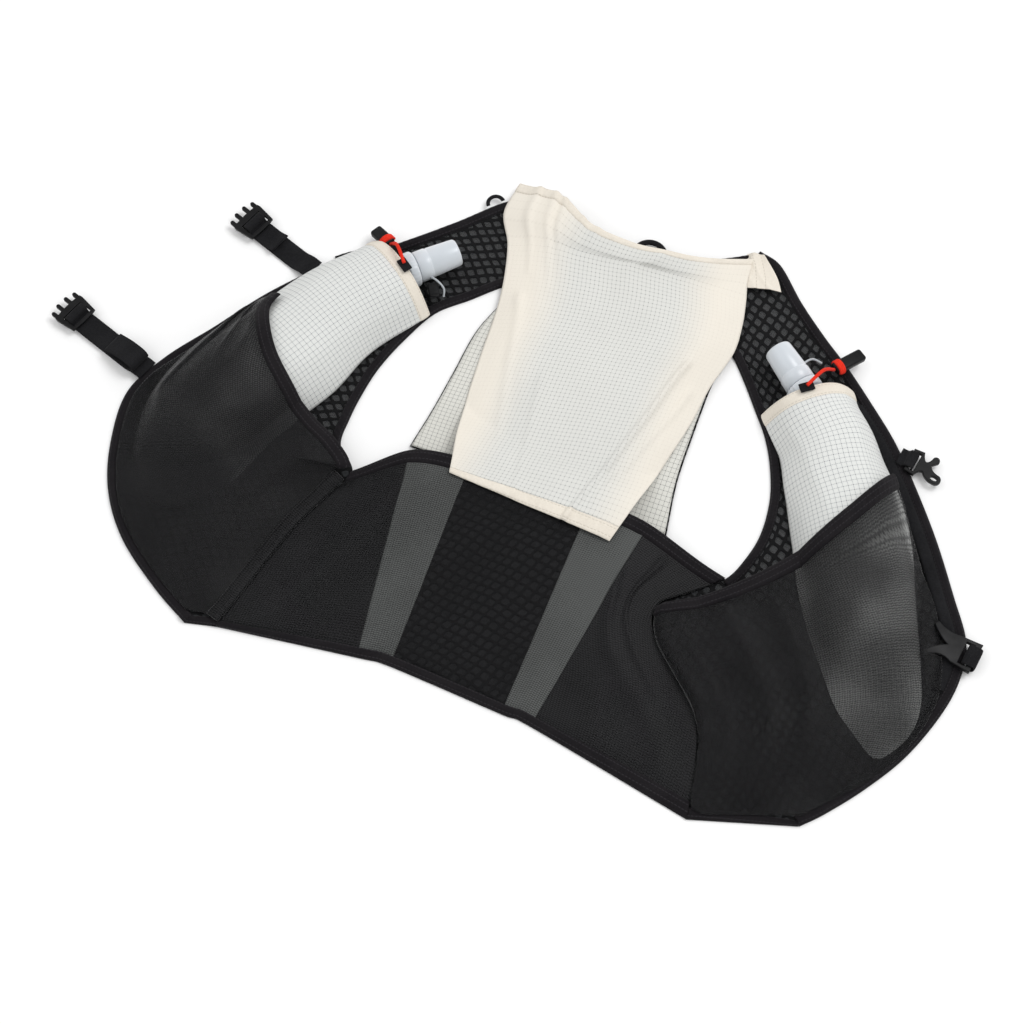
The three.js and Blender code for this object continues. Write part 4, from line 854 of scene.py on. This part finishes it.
# Flask pockets: axis x, y, then half width and rise as shares
LEFT_POCKET_AXIS = [
    (-24.4, 33.0, 0.63, 0.95), (-26.3, 29.1, 0.69, 1.0), (-28.8, 24.2, 0.8, 1.0),
    (-30.9, 19.2, 0.91, 1.0), (-32.9, 13.6, 1.02, 1.0), (-35.0, 8.0, 1.03, 1.0),
    (-36.9, 2.0, 1.02, 1.0), (-38.3, -4.0, 0.98, 0.95), (-39.0, -10.0, 0.84, 0.6),
    (-39.3, -16.0, 0.6, 0.2), (-39.2, -21.0, 0.35, 0.05),
]
RIGHT_POCKET_AXIS = [
    (25.9, 36.6, 0.67, 0.95), (27.6, 33.6, 0.69, 1.0), (30.1, 29.8, 0.77, 1.0),
    (32.3, 25.0, 0.85, 1.0), (34.6, 20.2, 0.92, 1.0), (36.8, 14.6, 0.94, 1.0),
    (38.7, 8.6, 0.92, 1.0), (40.6, 2.4, 0.86, 0.95), (42.6, -4.0, 0.76, 0.6),
    (44.4, -10.6, 0.62, 0.2), (45.4, -16.6, 0.35, 0.05),
]
AXIS_STEPS = 60


class Axis:
    """The middle line of a flask pocket, with its half width and its rise."""

    def __init__(self, table):
        self.path = spread([(r[0], r[1]) for r in table])
        self.shape = np.array([(r[2] * POCKET_HALF, r[3] * POCKET_RISE) for r in table])
        self.samples = self.point(np.linspace(0, 1, AXIS_STEPS + 1))
        self.length = norm(self.point(1.0) - self.point(0.0))

    def point(self, t):
        return curve_point(self.path, t)

    def side(self, t):
        return turned(unit(self.point(np.asarray(t) + 0.01) - self.point(np.asarray(t) - 0.01)))

    def half(self, t):
        return curve_point(self.shape, t)[..., 0]

    def rise(self, t):
        return curve_point(self.shape, t)[..., 1]

    def height(self, p):
        """How high mesh stands over the pocket at plan points."""
        flat = p.reshape(-1, 2)[:, None]
        a = self.samples[None, :-1]
        span = self.samples[None, 1:] - a
        t = np.clip(((flat - a) * span).sum(-1) / (span**2).sum(-1), 0, 1)
        away = norm(flat - a - t[..., None] * span)
        best = away.argmin(axis=1)
        rows = np.arange(len(flat))
        at = (best + t[rows, best]) / AXIS_STEPS
        share = away[rows, best] / (self.half(at) + MESH_EASE)
        z = (self.rise(at) + MESH_CLEARANCE) * np.maximum(0, 1 - share**DOME_POWER)
        return z.reshape(p.shape[:-1])


left_axis = Axis(LEFT_POCKET_AXIS)
right_axis = Axis(RIGHT_POCKET_AXIS)
# Soft folds of each flask pocket, as shares across and along
POCKET_FOLDS = {
    "left": [(0.15, 0.05, 0.3, 0.5, 0.05, 0.9, 0.3), (0.88, 0.1, 0.7, 0.6, 0.06, 0.8, 0.3),
             (0.55, 0.0, 0.5, 0.35, 0.05, 0.5, 0.2)],
    "right": [(0.85, 0.05, 0.65, 0.5, 0.05, 1.0, 0.3), (0.15, 0.15, 0.4, 0.6, 0.05, 0.9, 0.3),
              (0.1, 0.42, 0.6, 0.36, 0.03, 0.7, 0.6), (0.5, 0.0, 0.45, 0.3, 0.05, 0.5, 0.2)],
}
# How much wider each pocket is at its mouth, at its low end, and where it laps over the outer tape
POCKET_FLARE = {"left": (0.22, 0.25, 0.2), "right": (0.16, 0.0, 0.0)}
MOUTH_HEM = {"left": 10.5, "right": 14.5}
# How far the low end of the right pocket leans to its outer tape
TOE_LEAN = {"left": (0.0, 0.0), "right": (11.0, -6.0)}


def build_flask_pocket(side, axis):
    flare, low_end, lap = POCKET_FLARE[side]
    mouth_hem = MOUTH_HEM[side]

    def plan(u, v):
        wide = 1 + flare * (1 - smooth(0, 0.28, v)) + low_end * smooth(0.62, 1, v)
        wide = wide + lap * (1 - smooth(0.2, 0.42, v)) * smooth(0, 1, 1 - 2 * u)
        wide = wide * np.sqrt(np.maximum(0.01, 1 - np.clip((v - 0.84) / 0.16, 0, 1) ** 2))
        lean = np.array(TOE_LEAN[side]) * smooth(0.6, 0.96, v)[..., None]
        return axis.point(v) + lean + axis.side(v) * ((2 * u - 1) * axis.half(v) * wide)[..., None]

    def height(u, v):
        out = np.abs(2 * u - 1)
        dome = np.maximum(0, 1 - out ** DOME_POWER) + 0.055 * (1 - smooth(0.3, 0.55, v)) * out ** 4
        if side == "right":
            dome = dome * (1 - 0.85 * smooth(0.66, 0.9, v))
        soft = np.minimum(1, np.maximum(0, dome) * 2.5) * smooth(0, 0.06, v)
        wrinkle = 0.35 * rumple(plan(u, v), 30, 61 if side == "left" else 62, 0.5, 1.8)
        return ON_NET + axis.rise(v) * dome + soft * (wrinkle + creases(POCKET_FOLDS[side], u, v) + 0.2)
    u, v = grid(150, 90, (mouth_hem / axis.length * 0.96, 1.0))
    cloth(f"{side}_flask_cloth", lift(plan(u, v), height(u, v)), cream_pockets[side], "cream_cloth",
          f"{side}_flask_pocket", "stretched", f"{side}_front_net")
    u, v = grid(160, 14)
    down = u * mouth_hem / axis.length
    points = lift(plan(v, down), height(v, down))
    out = np.abs(2 * u - 1)
    rim = 0.35 + 0.65 * (1 - out ** 4) + 0.12 * noise(lengths(points, 0) / 5, u * 3, 71) * (1 - out)
    hem = shell(f"{side}_flask_hem", points, rim)
    finish_piece(hem, cream_tape, "cream_hem", f"{side}_flask_pocket_hem")


# Flasks: share of the length, then of the half width and half thickness
FLASK_RINGS = [(0.0, 0.42, 0.78), (0.06, 0.62, 0.86), (0.15, 0.8, 0.95), (0.30, 0.93, 1.0),
               (0.52, 1.0, 1.0), (0.74, 1.0, 0.98), (0.88, 0.92, 0.84), (0.96, 0.74, 0.56), (1.0, 0.5, 0.22)]
SHOULDER_INSET = 9.0
COLLAR_OUT = 1.5
# Turned profiles: distance along, share of the radius
COLLAR_PROFILE = [(0, 0.80), (0.3, 0.86), (1.0, 0.99), (1.6, 1), (5.2, 1), (5.9, 0.98), (6.6, 0.92),
                  (COLLAR_LENGTH, 0.86)]
CAP_PROFILE = [(0, 0.95), (0.4, 1), (7.6, 1), (8.1, 0.985), (8.5, 0.95), (9.2, 0.945), (9.6, 0.965),
               (26.4, 0.88), (27.6, 0.865), (28.4, 0.83), (28.85, 0.77), (CAP_LENGTH, 0.66)]


def lathe(name, profile, radius, origin, direction, sides, ribs=0, rib_depth=0.0):
    """A turned form along a plan direction, with small ribs where asked."""
    angle = around(sides)[:, None]
    outward = np.cos(angle) * np.array([*-turned(direction), 0.0]) + np.sin(angle) * UP
    rib = rib_depth * np.maximum(0, np.cos(ribs * angle))
    forward = np.array([*direction, 0.0])
    return tube(name, np.array([origin + forward * along + (radius * share + rib) * outward
                                for along, share in profile]))


def build_flask(side, axis, cap_angle):
    direction = ahead(cap_angle)
    across = -turned(direction)
    if across @ axis.side(0.0) < 0:
        across = -across
    seat = np.array([*(axis.point(0.0) + direction * COLLAR_OUT), ON_NET + COLLAR_DIAMETER / 2])
    table = [(*(seat[:2] - direction * LAYER_GAP), seat[2], *across, NECK_DIAMETER / 2, NECK_DIAMETER / 2)]
    for along, wide, tall in FLASK_RINGS:
        t = (SHOULDER_INSET + along * FLASK_LENGTH) / axis.length
        table.append((*axis.point(t), ON_NET + FLASK_THICKNESS / 2, *axis.side(t),
                      wide * FLASK_WIDTH / 2, tall * FLASK_THICKNESS / 2))
    along = np.linspace(0, 1, 61)
    x, y, z, out_x, out_y, wide, tall = curve_point(np.array(table), along).T[..., None]
    angle = around(64)
    dent = 0.5 * noise(along[:, None] * 9, np.cos(angle)[None] * 2, 81) * np.sin(angle) * along[:, None]
    rings = np.stack([x + np.cos(angle) * out_x * wide, y + np.cos(angle) * out_y * wide,
                      z + np.sin(angle) * tall + dent], -1)
    finish_piece(tube(f"{side}_flask_bag", rings), film, "flask_film", f"{side}_flask")
    ring = lathe(f"{side}_flask_ring", COLLAR_PROFILE, COLLAR_DIAMETER / 2, seat, direction, 96, 24, 0.25)
    finish_piece(ring, cap_look, "cap_plastic", f"{side}_flask_collar")
    base = seat + np.array([*direction, 0]) * (COLLAR_LENGTH + SEAM_GAP)
    top = lathe(f"{side}_flask_top", CAP_PROFILE, CAP_DIAMETER / 2, base, direction, 72)
    finish_piece(top, cap_look, "cap_plastic", f"{side}_flask_cap")


# Mesh pockets
left_mesh = strip([
    (-38.3, 23.6, -36.9, 24.4), (-39.9, 20.6, -36.4, 20.6), (-42.0, 16.0, -36.6, 16.9),
    (-44.0, 10.8, -35.2, 12.7), (-46.3, 5.6, -32.9, 8.5), (-48.1, 1.1, -29.9, 5.1),
    (-49.0, -4.2, -26.5, 2.0), (-48.5, -9.9, -23.0, -0.4), (-47.6, -14.8, -20.2, -3.8),
    (-46.5, -18.6, -21.5, -8.8), (-45.1, -22.4, -23.2, -15.0), (-43.0, -26.2, -24.4, -21.4),
    (-39.7, -30.2, -25.4, -27.9), (-35.2, -34.3, -26.2, -33.0), (-31.3, -37.2, -26.8, -36.0),
])
MOUTH_END = 8 / 14
right_mesh = strip([
    (18.8, -7.4, 38.2, 28.2, 29.9, 6.6), (19.0, -10.2, 41.3, 21.9, 31.4, 2.6),
    (20.2, -13.2, 43.6, 15.6), (22.6, -16.4, 45.6, 9.3), (25.2, -19.6, 47.3, 3.4),
    (27.0, -22.2, 48.9, -2.0), (28.4, -25.6, 49.6, -7.6), (29.1, -29.4, 48.9, -14.2),
    (29.6, -33.2, 47.0, -20.8), (30.3, -36.4, 44.4, -26.6), (32.0, -36.9, 42.0, -31.4),
])


def left_mesh_height(p, u, v):
    opening = 1 - smooth(MOUTH_END - 0.12, MOUTH_END + 0.1, v)
    swell = np.sin(np.pi * np.clip(u, 0, 1) * (1 - opening / 2))
    own = MESH_POCKET_DEPTH * swell * (smooth(0, 0.15, v) * (1 - smooth(0.72, 1, v)))
    under = left_axis.height(p)
    return OVER_EDGE + np.maximum(np.maximum(own, under), 0.5 * (own + under))


def right_mesh_height(p, u, v):
    across = np.clip(u, 0, 1)
    roll = 0.75 * (1 - smooth(0.08, 0.3, across)) * smooth(-0.02, 0.03, across)
    swell = np.sin(np.pi * across) ** 0.8 * 0.95
    own = MESH_POCKET_DEPTH * np.maximum(roll * (1 - smooth(0.35, 0.8, v)), swell) * (1 - smooth(0.6, 1, v))
    return OVER_EDGE + np.maximum(own, right_axis.height(p))


# Folds of the mesh pockets, as shares across and along
LEFT_MESH_FOLDS = [
    (0.30, 0.10, 0.18, 0.44, 0.035, 3.6, 0.8), (0.18, 0.42, 0.52, 0.60, 0.045, 2.8, 0.4),
    (0.85, 0.24, 0.45, 0.40, 0.04, 2.8, 0.5), (0.95, 0.38, 0.35, 0.50, 0.035, 2.6, 0.4),
    (0.9, 0.55, 0.5, 0.8, 0.05, 2.4, 0.4), (0.12, 0.6, 0.35, 0.9, 0.05, 2.0, 0.5),
    (0.6, 0.66, 0.3, 0.74, 0.03, 1.6, 0.5), (0.62, 0.14, 0.5, 0.3, 0.03, 1.6, 0.3),
]
RIGHT_MESH_FOLDS = [
    (0.10, 0.12, 0.12, 0.75, 0.03, 3.0, 0.5), (0.26, 0.10, 0.30, 0.85, 0.04, 3.6, 0.6),
    (0.44, 0.12, 0.46, 0.9, 0.035, 2.4, 0.7), (0.90, 0.10, 0.88, 0.8, 0.03, 3.4, 0.7),
    (0.70, 0.10, 0.78, 0.6, 0.04, 1.8, 0.3), (0.02, 0.45, 0.22, 0.55, 0.04, 3.0, 0.4),
    (0.18, 0.30, 0.36, 0.62, 0.03, 2.2, 0.4), (0.98, 0.35, 0.93, 0.9, 0.02, 2.4, 0.8),
]


def build_mesh_pockets():
    u, v = grid(220, 90, (0.08, 1.0))
    p = drawn_in(left_mesh, BINDING_WIDTH + SEAM_GAP, MESH_INSET)(u, v)
    soft = np.sin(np.pi * u) ** 0.5 * smooth(0.08, 0.16, v) * smooth(0, 0.05, 1 - v)
    folds = 1.25 * creases(LEFT_MESH_FOLDS, u, v) + 0.7 * rumple(p, 38, 91, 0.7, 2.0)
    z = left_mesh_height(p, u, v) + soft * (folds + 0.2 * rumple(p, 12, 93) + 0.5)
    cloth("left_mesh_cloth", lift(p, z), dark_mesh, "mesh_cloth", "left_mesh_pocket", "draped",
          "left_front_net")
    rim = edge_plan(left_mesh, "right", 0, MOUTH_BINDING_WIDTH)
    rim_height = lambda p, u, v: left_mesh_height(p, 0 * u + 1, v) + 0.15
    tape_along("left_mouth_tape", rim, rim_height, (0.08, MOUTH_END), 200, HEM_THICKNESS, 95,
               "left_mesh_mouth_binding")
    tape_along("left_side_tape", rim, rim_height, (MOUTH_END + 0.03, 1.0), 110, HEM_THICKNESS, 96,
               "left_side_seam", material=wing_mesh)
    u, v = grid(170, 130)
    length = plan_length(right_mesh, u)
    down = MESH_INSET / length + v * (1 - (MESH_INSET + SEAM_GAP) / length)
    reach = 0.09 * smooth(0.1, 0.4, down) * (1 - smooth(0.8, 1, down))
    p = right_mesh(0.002 + (0.998 + reach) * u, down)
    soft = np.sin(np.pi * u) ** 0.35 * smooth(0, 0.05, v) * smooth(0, 0.05, 1 - v)
    folds = creases(RIGHT_MESH_FOLDS, u, down) + 0.6 * rumple(p, 40, 97, 0.2, 2.2)
    z = right_mesh_height(p, u, down) + soft * (folds + 0.2 * rumple(p, 13, 99) + 0.5)
    cloth("right_mesh_cloth", lift(p, z), side_mesh, "mesh_cloth", "right_mesh_pocket", "draped",
          "right_front_net")
    end_tape("right_mouth_tape", right_mesh, MOUTH_BINDING_WIDTH,
             lambda p, u, v: right_mesh_height(p, u, v) + 0.15, 240, HEM_THICKNESS, 98,
             "right_mesh_mouth_binding")


# Webbing and buckles
def strap(name, path, width, start, heading, node):
    """A flat tape that follows a side view (run, up) along a heading, with rounded edges."""
    fine = curve_point(path, np.linspace(0, 1, 12 * len(path)), 0.4)
    along = lengths(fine, 0)
    line = np.stack([np.interp(np.linspace(0, along[-1], 120), along, axis) for axis in fine.T], 1)
    normal = turned(unit(np.gradient(line, axis=0)))
    forward = ahead(heading)
    rings = np.zeros((len(line), STRAP_SIDES, 3))
    for j, angle in enumerate(around(STRAP_SIDES)):
        c, s = math.cos(angle), math.sin(angle)
        side = math.copysign(abs(c) ** 0.35, c) * width / 2
        run, up = (line + normal * (math.copysign(abs(s) ** 0.6, s) * WEBBING_THICKNESS / 2)).T
        rings[:, j, :2] = start + np.outer(run, forward) + side * turned(forward)
        rings[:, j, 2] = up
    finish_piece(tube(name, rings), webbing, "webbing", node)


class Outline:
    """A closed outline of lines, bends and arcs, in shares of one size."""

    def __init__(self, size, x, y):
        self.size = size
        self.points = [(x * size, y * size)]

    def line(self, x, y):
        self.points.append((x * self.size, y * self.size))
        return self

    def bend(self, cx, cy, x, y, steps=12):
        x0, y0 = self.points[-1]
        cx, cy, x, y = (value * self.size for value in (cx, cy, x, y))
        for i in range(1, steps + 1):
            t = i / steps
            a, b, c = (1 - t) ** 2, 2 * t * (1 - t), t * t
            self.points.append((a * x0 + b * cx + c * x, a * y0 + b * cy + c * y))
        return self

    def arc(self, cx, cy, r, low, high, steps=14):
        for i in range(steps + 1):
            t = low + (high - low) * i / steps
            self.line(cx + r * math.cos(t), cy + r * math.sin(t))
        return self


def window(low, high, half):
    return [(low, -half), (low, half), (high, half), (high, -half)]


def moulding(name, outline, holes, thickness, place, level, heading, node):
    """A flat moulded piece with round edges, laid at a place along a heading."""
    curve = bpy.data.curves.new(name, "CURVE")
    curve.dimensions = "2D"
    curve.fill_mode = "BOTH"
    curve.extrude = (thickness / 2 - MOULDING_BEVEL) * MM
    curve.bevel_depth = MOULDING_BEVEL * MM
    curve.bevel_resolution = 3
    curve.offset = -MOULDING_BEVEL * MM
    for loop in [outline, *holes]:
        spline = curve.splines.new("POLY")
        spline.points.add(len(loop) - 1)
        for point, (x, y) in zip(spline.points, loop):
            point.co = (x * MM, y * MM, 0, 1)
        spline.use_cyclic_u = True
    holder = linked(name + "_outline", curve)
    mesh = bpy.data.meshes.new_from_object(holder.evaluated_get(bpy.context.evaluated_depsgraph_get()))
    bpy.data.objects.remove(holder)
    points = np.zeros(len(mesh.vertices) * 3)
    mesh.vertices.foreach_get("co", points)
    x, y, z = points.reshape(-1, 3).T
    c, s = ahead(heading)
    moved = np.stack([x * c - y * s + place[0] * MM, x * s + y * c + place[1] * MM,
                      z + (level + thickness / 2) * MM], 1)
    mesh.vertices.foreach_set("co", moved.ravel())
    mesh.polygons.foreach_set("use_smooth", [False] * len(mesh.polygons))
    finish_piece(linked(name, mesh), black_plastic, "moulded_plastic", node)


def buckle_outline():
    half = BUCKLE_WIDTH / 2
    front = lambda y: BUCKLE_LENGTH * (1.06 - 0.06 * (y / half) ** 2)
    shape = Outline(1, 0, -half * 0.86).line(BUCKLE_LENGTH * 0.85, -half).line(BUCKLE_LENGTH, -half * 0.97)
    r = BUCKLE_WIDTH * 0.06
    for at, reach in ((-0.41, 0.3), (-0.15, 0.42), (0.15, 0.42), (0.41, 0.3)):
        y = at * BUCKLE_WIDTH
        shape.line(front(y - r), y - r)
        shape.arc(BUCKLE_LENGTH * (1 + reach) - r, y, r, -math.pi / 2, math.pi / 2)
        shape.line(front(y + r), y + r)
    shape.line(BUCKLE_LENGTH, half * 0.97).line(BUCKLE_LENGTH * 0.85, half).line(0, half * 0.86)
    shape.bend(-BUCKLE_LENGTH * 0.12, 0, 0, -half * 0.86)
    y = WEBBING_WIDTH / 2 + LAYER_GAP
    windows = [window(BUCKLE_LENGTH * a, BUCKLE_LENGTH * b, y) for a, b in ((0.12, 0.38), (0.6, 0.74))]
    return shape.points[:-1], windows


# Place along the front's edge, heading, run to the buckle, tail past it, whether the tail curls
STERNUM_STRAPS = [("upper", 0.39, 161, 46, 16, False), ("lower", 0.63, 162, 56, 42, True)]


def build_sternum_strap(name, edge, heading, run, tail, curls):
    start = edge_point(left_front, "left", np.array([edge]), 2.0)[0]
    low = STRAP_EASE
    second = low + WEBBING_THICKNESS + LAYER_GAP
    high = BINDING_THICKNESS + STRAP_EASE
    level = second + STRAP_EASE
    over = level + BUCKLE_THICKNESS + STRAP_EASE
    inside = level + BUCKLE_THICKNESS * 0.7
    bar = run + BUCKLE_LENGTH / 2
    reach = BUCKLE_LENGTH * 0.1 + STRAP_EASE
    end = run - tail
    tip = [(end, second + 2.5)]
    if curls:
        # The tail's end folds back over itself near the root
        tip = [(end + 6, second + 0.6), (end - 2, second + 1.6), (end - 8, second + 4.5),
               (end - 5.5, second + 8.5), (end + 4, second + 8.5), (end + 16, second + 4.5)]
    strap(f"{name}_strap", [
        (0, high), (6, high), (12, low + 0.8), (18, low), (bar - 6, low), (bar + reach - 1.2, low + 0.3),
        (bar + reach, level), (bar + reach, inside), (bar + reach * 0.6, over), (bar - reach * 0.6, over),
        (bar - reach, inside), (bar - reach, level), (bar - reach - 1.6, second), (bar - 10, second),
        (run - tail * 0.6, second), *tip,
    ], WEBBING_WIDTH, start, heading, f"{name}_sternum_webbing")
    moulding(f"{name}_buckle", *buckle_outline(), BUCKLE_THICKNESS, start + run * ahead(heading), level,
             heading, f"{name}_sternum_buckle")


HOOK_LENGTH = 24.0
HOOK_THICKNESS = 3.0
HOOK_HEADING = -8
FORK_LENGTH = 32.0
FORK_THICKNESS = 3.4
FORK_HEADING = -6


def build_hook():
    k = HOOK_LENGTH
    place = edge_point(right_front, "left", np.array([0.405]), -1.8)[0]
    shape = Outline(k, 0, -0.34).line(0.29, -0.37).bend(0.34, -0.16, 0.46, -0.16)
    shape.bend(0.6, -0.34, 0.82, -0.34).arc(0.86, -0.2, 0.14, -math.pi / 2, math.pi / 2)
    shape.bend(0.66, -0.04, 0.6, 0.12).arc(0.64, 0.3, 0.1, -0.6, math.pi)
    shape.bend(0.5, 0.14, 0.42, 0.14).bend(0.34, 0.2, 0.29, 0.37).line(0, 0.34)
    eye = [((0.8 + 0.1 * math.cos(a)) * k, (-0.2 + 0.055 * math.sin(a)) * k) for a in around(28)]
    bar = 0.27 * k
    moulding("hook", shape.points, [eye, window(0.11 * k, 0.24 * k, bar)], HOOK_THICKNESS, place,
             OVER_EDGE, HOOK_HEADING, "hook_buckle")
    slot = 0.175 * k
    on_edge = OVER_EDGE + WEBBING_THICKNESS / 2
    top = OVER_EDGE + HOOK_THICKNESS + STRAP_EASE
    strap("hook_wrap", [
        (-6.5, on_edge), (-3, on_edge), (-1.4, OVER_EDGE + 2.2), (-0.6, top - 0.2), (0.6, top),
        (slot - 1, top), (slot, top - 1.2), (slot, OVER_EDGE + 0.2),
    ], 2 * bar - 3 * LAYER_GAP, place, HOOK_HEADING, "hook_webbing")


def build_fork():
    k = FORK_LENGTH
    place = edge_point(right_front, "left", np.array([0.617]), 24.0)[0]
    level = OVER_EDGE + LAYER_GAP
    shape = Outline(k, 0, -0.34).bend(0.0, -0.42, 0.06, -0.4).bend(0.3, -0.14, 0.56, -0.28)
    shape.line(0.98, -0.32).line(1, 0.32).line(0.56, 0.3).bend(0.3, 0.24, 0.06, 0.38).line(0, 0.3)
    shape.bend(0.2, 0.1, 0.38, 0.02).bend(0.16, -0.1, 0, -0.34)
    bar = 0.23 * k
    moulding("fork", shape.points[:-1], [window(0.7 * k, 0.87 * k, bar)], FORK_THICKNESS, place, level,
             FORK_HEADING, "fork_buckle")
    slot, top, beyond = 0.785 * k, level + FORK_THICKNESS + STRAP_EASE, k + STRAP_EASE
    strap("fork_wrap", [
        (slot - 0.2, level - 0.6), (slot, level + 1), (slot, top - 1.2), (slot + 1, top),
        (beyond - 1.2, top), (beyond, top - 1.2), (beyond, level), (beyond - 0.6, 1.8), (beyond - 2, 1),
        (beyond - 4, 1),
    ], 2 * bar - 3 * LAYER_GAP, place, FORK_HEADING, "fork_webbing")


# Loops: centre, outer radius, width and heading
LOOPS = [("neck_hang_loop", 1.7, 53.2, 12, 4, 12), ("left_shoulder_loop", -18.3, 53.0, 6.5, 2.6, 44)]
# Rails of the straps: span along the front's edge, distances inward of it and level
RAILS = [("left", left_front, (0.27, 0.345), -3.4, -SEAM_GAP, 0.0),
         ("right", right_front, (0.31, 0.72), 6.2, 14.0, ON_NET)]


def build_loops():
    for name, x, y, outer, wide, heading in LOOPS:
        u, v = grid(60, TAPE_COLUMNS)
        angle = np.pi * v + math.radians(heading)
        ring = np.stack([np.cos(angle), np.sin(angle)], -1) * (outer - wide * u)[..., None]
        loop = shell(f"{name}_tape", lift(spread([(x, y)])[0] + ring, OVER_EDGE), band_thickness(1.3))
        finish_piece(loop, webbing, "webbing", name)
    for side, plan, v_span, near, far, level in RAILS:
        tape_along(f"{side}_rail", edge_plan(plan, "left", near, far), lambda p, u, v: 0 * u + level,
                   v_span, 140, 1.5, 111, f"{side}_strap_rail", slot="webbing", material=webbing)


# Draw cords, from each pocket's mouth: the knot's place, the pull's end, the tab's x
DRAW_CORDS = [("left", left_axis, (-17, 17, 12), (-30, 24), 2),
              ("right", right_axis, (9, 24, 13), (21, 42), -2)]
PULL_DIAMETER = 6.0
TAB_SIZE = (9.5, 6, 1.4)
ELASTIC_RADIUS = 1.15
KNOT_RADIUS = 1.05
KNOT_TURNS = 2.5


def rounded_box(name, size, centre, direction, bevel, material, slot, *replaced):
    """A box (length, width, height) with round edges whose length follows a direction."""
    bm = bmesh.new()
    bmesh.ops.create_cube(bm, size=1.0)
    bmesh.ops.scale(bm, vec=[value * MM for value in size], verts=bm.verts)
    bmesh.ops.bevel(bm, geom=bm.edges[:], offset=bevel * MM, segments=5, affect="EDGES", profile=0.5)
    mesh = bpy.data.meshes.new(name)
    bm.to_mesh(mesh)
    bm.free()
    layer = mesh.uv_layers.new(name="cloth")
    for loop in mesh.loops:
        layer.data[loop.index].uv = mesh.vertices[loop.vertex_index].co[:2]
    mesh.transform(Vector(direction).normalized().to_track_quat("X", "Z").to_matrix().to_4x4())
    mesh.transform(Matrix.Translation(Vector(centre) * MM))
    mesh.polygons.foreach_set("use_smooth", [True] * len(mesh.polygons))
    finish_piece(linked(name, mesh), material, slot, *replaced)


def build_draw_cord(side, axis, knot_at, pull_at, tab_x):
    mouth = np.array([*axis.point(0.0), 0.0])
    top = ON_NET + POCKET_RISE * 0.95 + HEM_THICKNESS + 2 * LAYER_GAP
    tab = mouth + (tab_x, -3, top)
    rounded_box(f"{side}_tab", TAB_SIZE, tab + UP * TAB_SIZE[2] / 2, (*axis.side(0.0), 0), 0.45,
                webbing, "webbing", f"{side}_mouth_tab")
    knot = mouth + knot_at
    first = tab + UP * (TAB_SIZE[2] + LAYER_GAP + CORD_DIAMETER / 2)
    between = mouth + (knot_at[0] * 0.45, knot_at[1] * 0.45, top + CORD_DIAMETER)
    elastic = curved_cord(f"{side}_elastic", [first, between, knot], ELASTIC_RADIUS)
    finish_piece(elastic, red_braid, "red_cord", f"{side}_pull_loop")
    far = mouth + (*pull_at, ON_NET + PULL_DIAMETER / 2 + BINDING_THICKNESS)
    heading = unit(far - knot)
    length = norm(far - knot)
    middle = knot + heading * (length / 2 + CORD_DIAMETER / 4 + LAYER_GAP)
    rounded_box(f"{side}_pull", (length + 1.5, 8.4, 5.4), middle, heading, 1.7,
                black_plastic, "moulded_plastic", f"{side}_cord_pull")
    turns = np.linspace(0, 2 * np.pi * KNOT_TURNS, 90)
    sideways = unit(np.cross(heading, UP))
    coil = knot + heading * 2.0 + np.outer(np.cos(turns) * 4.4, sideways)
    coil = coil + np.outer(np.sin(turns) * 3.1, np.cross(sideways, heading))
    coil = coil + np.outer(turns / turns[-1] * 3.6, heading)
    finish_piece(round_cord(f"{side}_knot", coil, KNOT_RADIUS, 10), red_braid, "red_cord")


# Clear tethers of the caps, and the catch beside the left one
TETHERS = {"left_cap_tether": [(-115, 129, 14), (-109, 127, 15), (-104, 125, 12), (-103, 122, 7)],
           "right_cap_tether": [(127, 153, 14), (130, 159, 16), (134, 164, 15), (140, 165, 12)]}
TETHER_RADIUS = 0.7
CATCH_PLACE = (-110, 122, 11)


# Lamps: place, size and power
LAMPS = [("key", (0.9, 0.9, 2.2), 1.2, 26.0), ("fill", (-1.4, -0.4, 2.0), 1.8, 8.0)]
WORLD_STRENGTH = 0.75


def light_and_floor():
    world = bpy.data.worlds.new("world")
    bpy.context.scene.world = world
    world.use_nodes = True
    colour, strength = world.node_tree.nodes["Background"].inputs[:2]
    colour.default_value = (1.0, 1.0, 1.0, 1)
    strength.default_value = WORLD_STRENGTH
    for name, place, size, power in LAMPS:
        lamp = bpy.data.lights.new(name, "AREA")
        lamp.size = size
        lamp.energy = power
        obj = linked(name, lamp)
        obj.location = place
        obj.rotation_euler = Vector(place).to_track_quat("Z", "Y").to_euler()
    floor = new_object("floor", [(-4, -4, 0), (4, -4, 0), (4, 4, 0), (-4, 4, 0)], [(0, 1, 2, 3)])
    floor.location.z = -0.0004
    floor.data.materials.append(Look("floor_paint", (0.93, 0.93, 0.93), 0.9, specular=0.1).material)
    bpy.context.scene.view_settings.view_transform = "Standard"


build_fronts()
build_back()
build_back_pocket()
build_flap()
build_flask_pocket("left", left_axis)
build_flask_pocket("right", right_axis)
build_flask("left", left_axis, 46)
build_flask("right", right_axis, 141)
build_mesh_pockets()
for strap_row in STERNUM_STRAPS:
    build_sternum_strap(*strap_row)
build_hook()
build_fork()
build_loops()
for cord_row in DRAW_CORDS:
    build_draw_cord(*cord_row)
for name, points in TETHERS.items():
    finish_piece(curved_cord(name, points, TETHER_RADIUS, 10), clear_cord, "cap_plastic")
rounded_box("left_flask_catch", (9, 7, 5), CATCH_PLACE, (0.5, -0.87, 0), 1.2,
            black_plastic, "moulded_plastic")
light_and_floor()
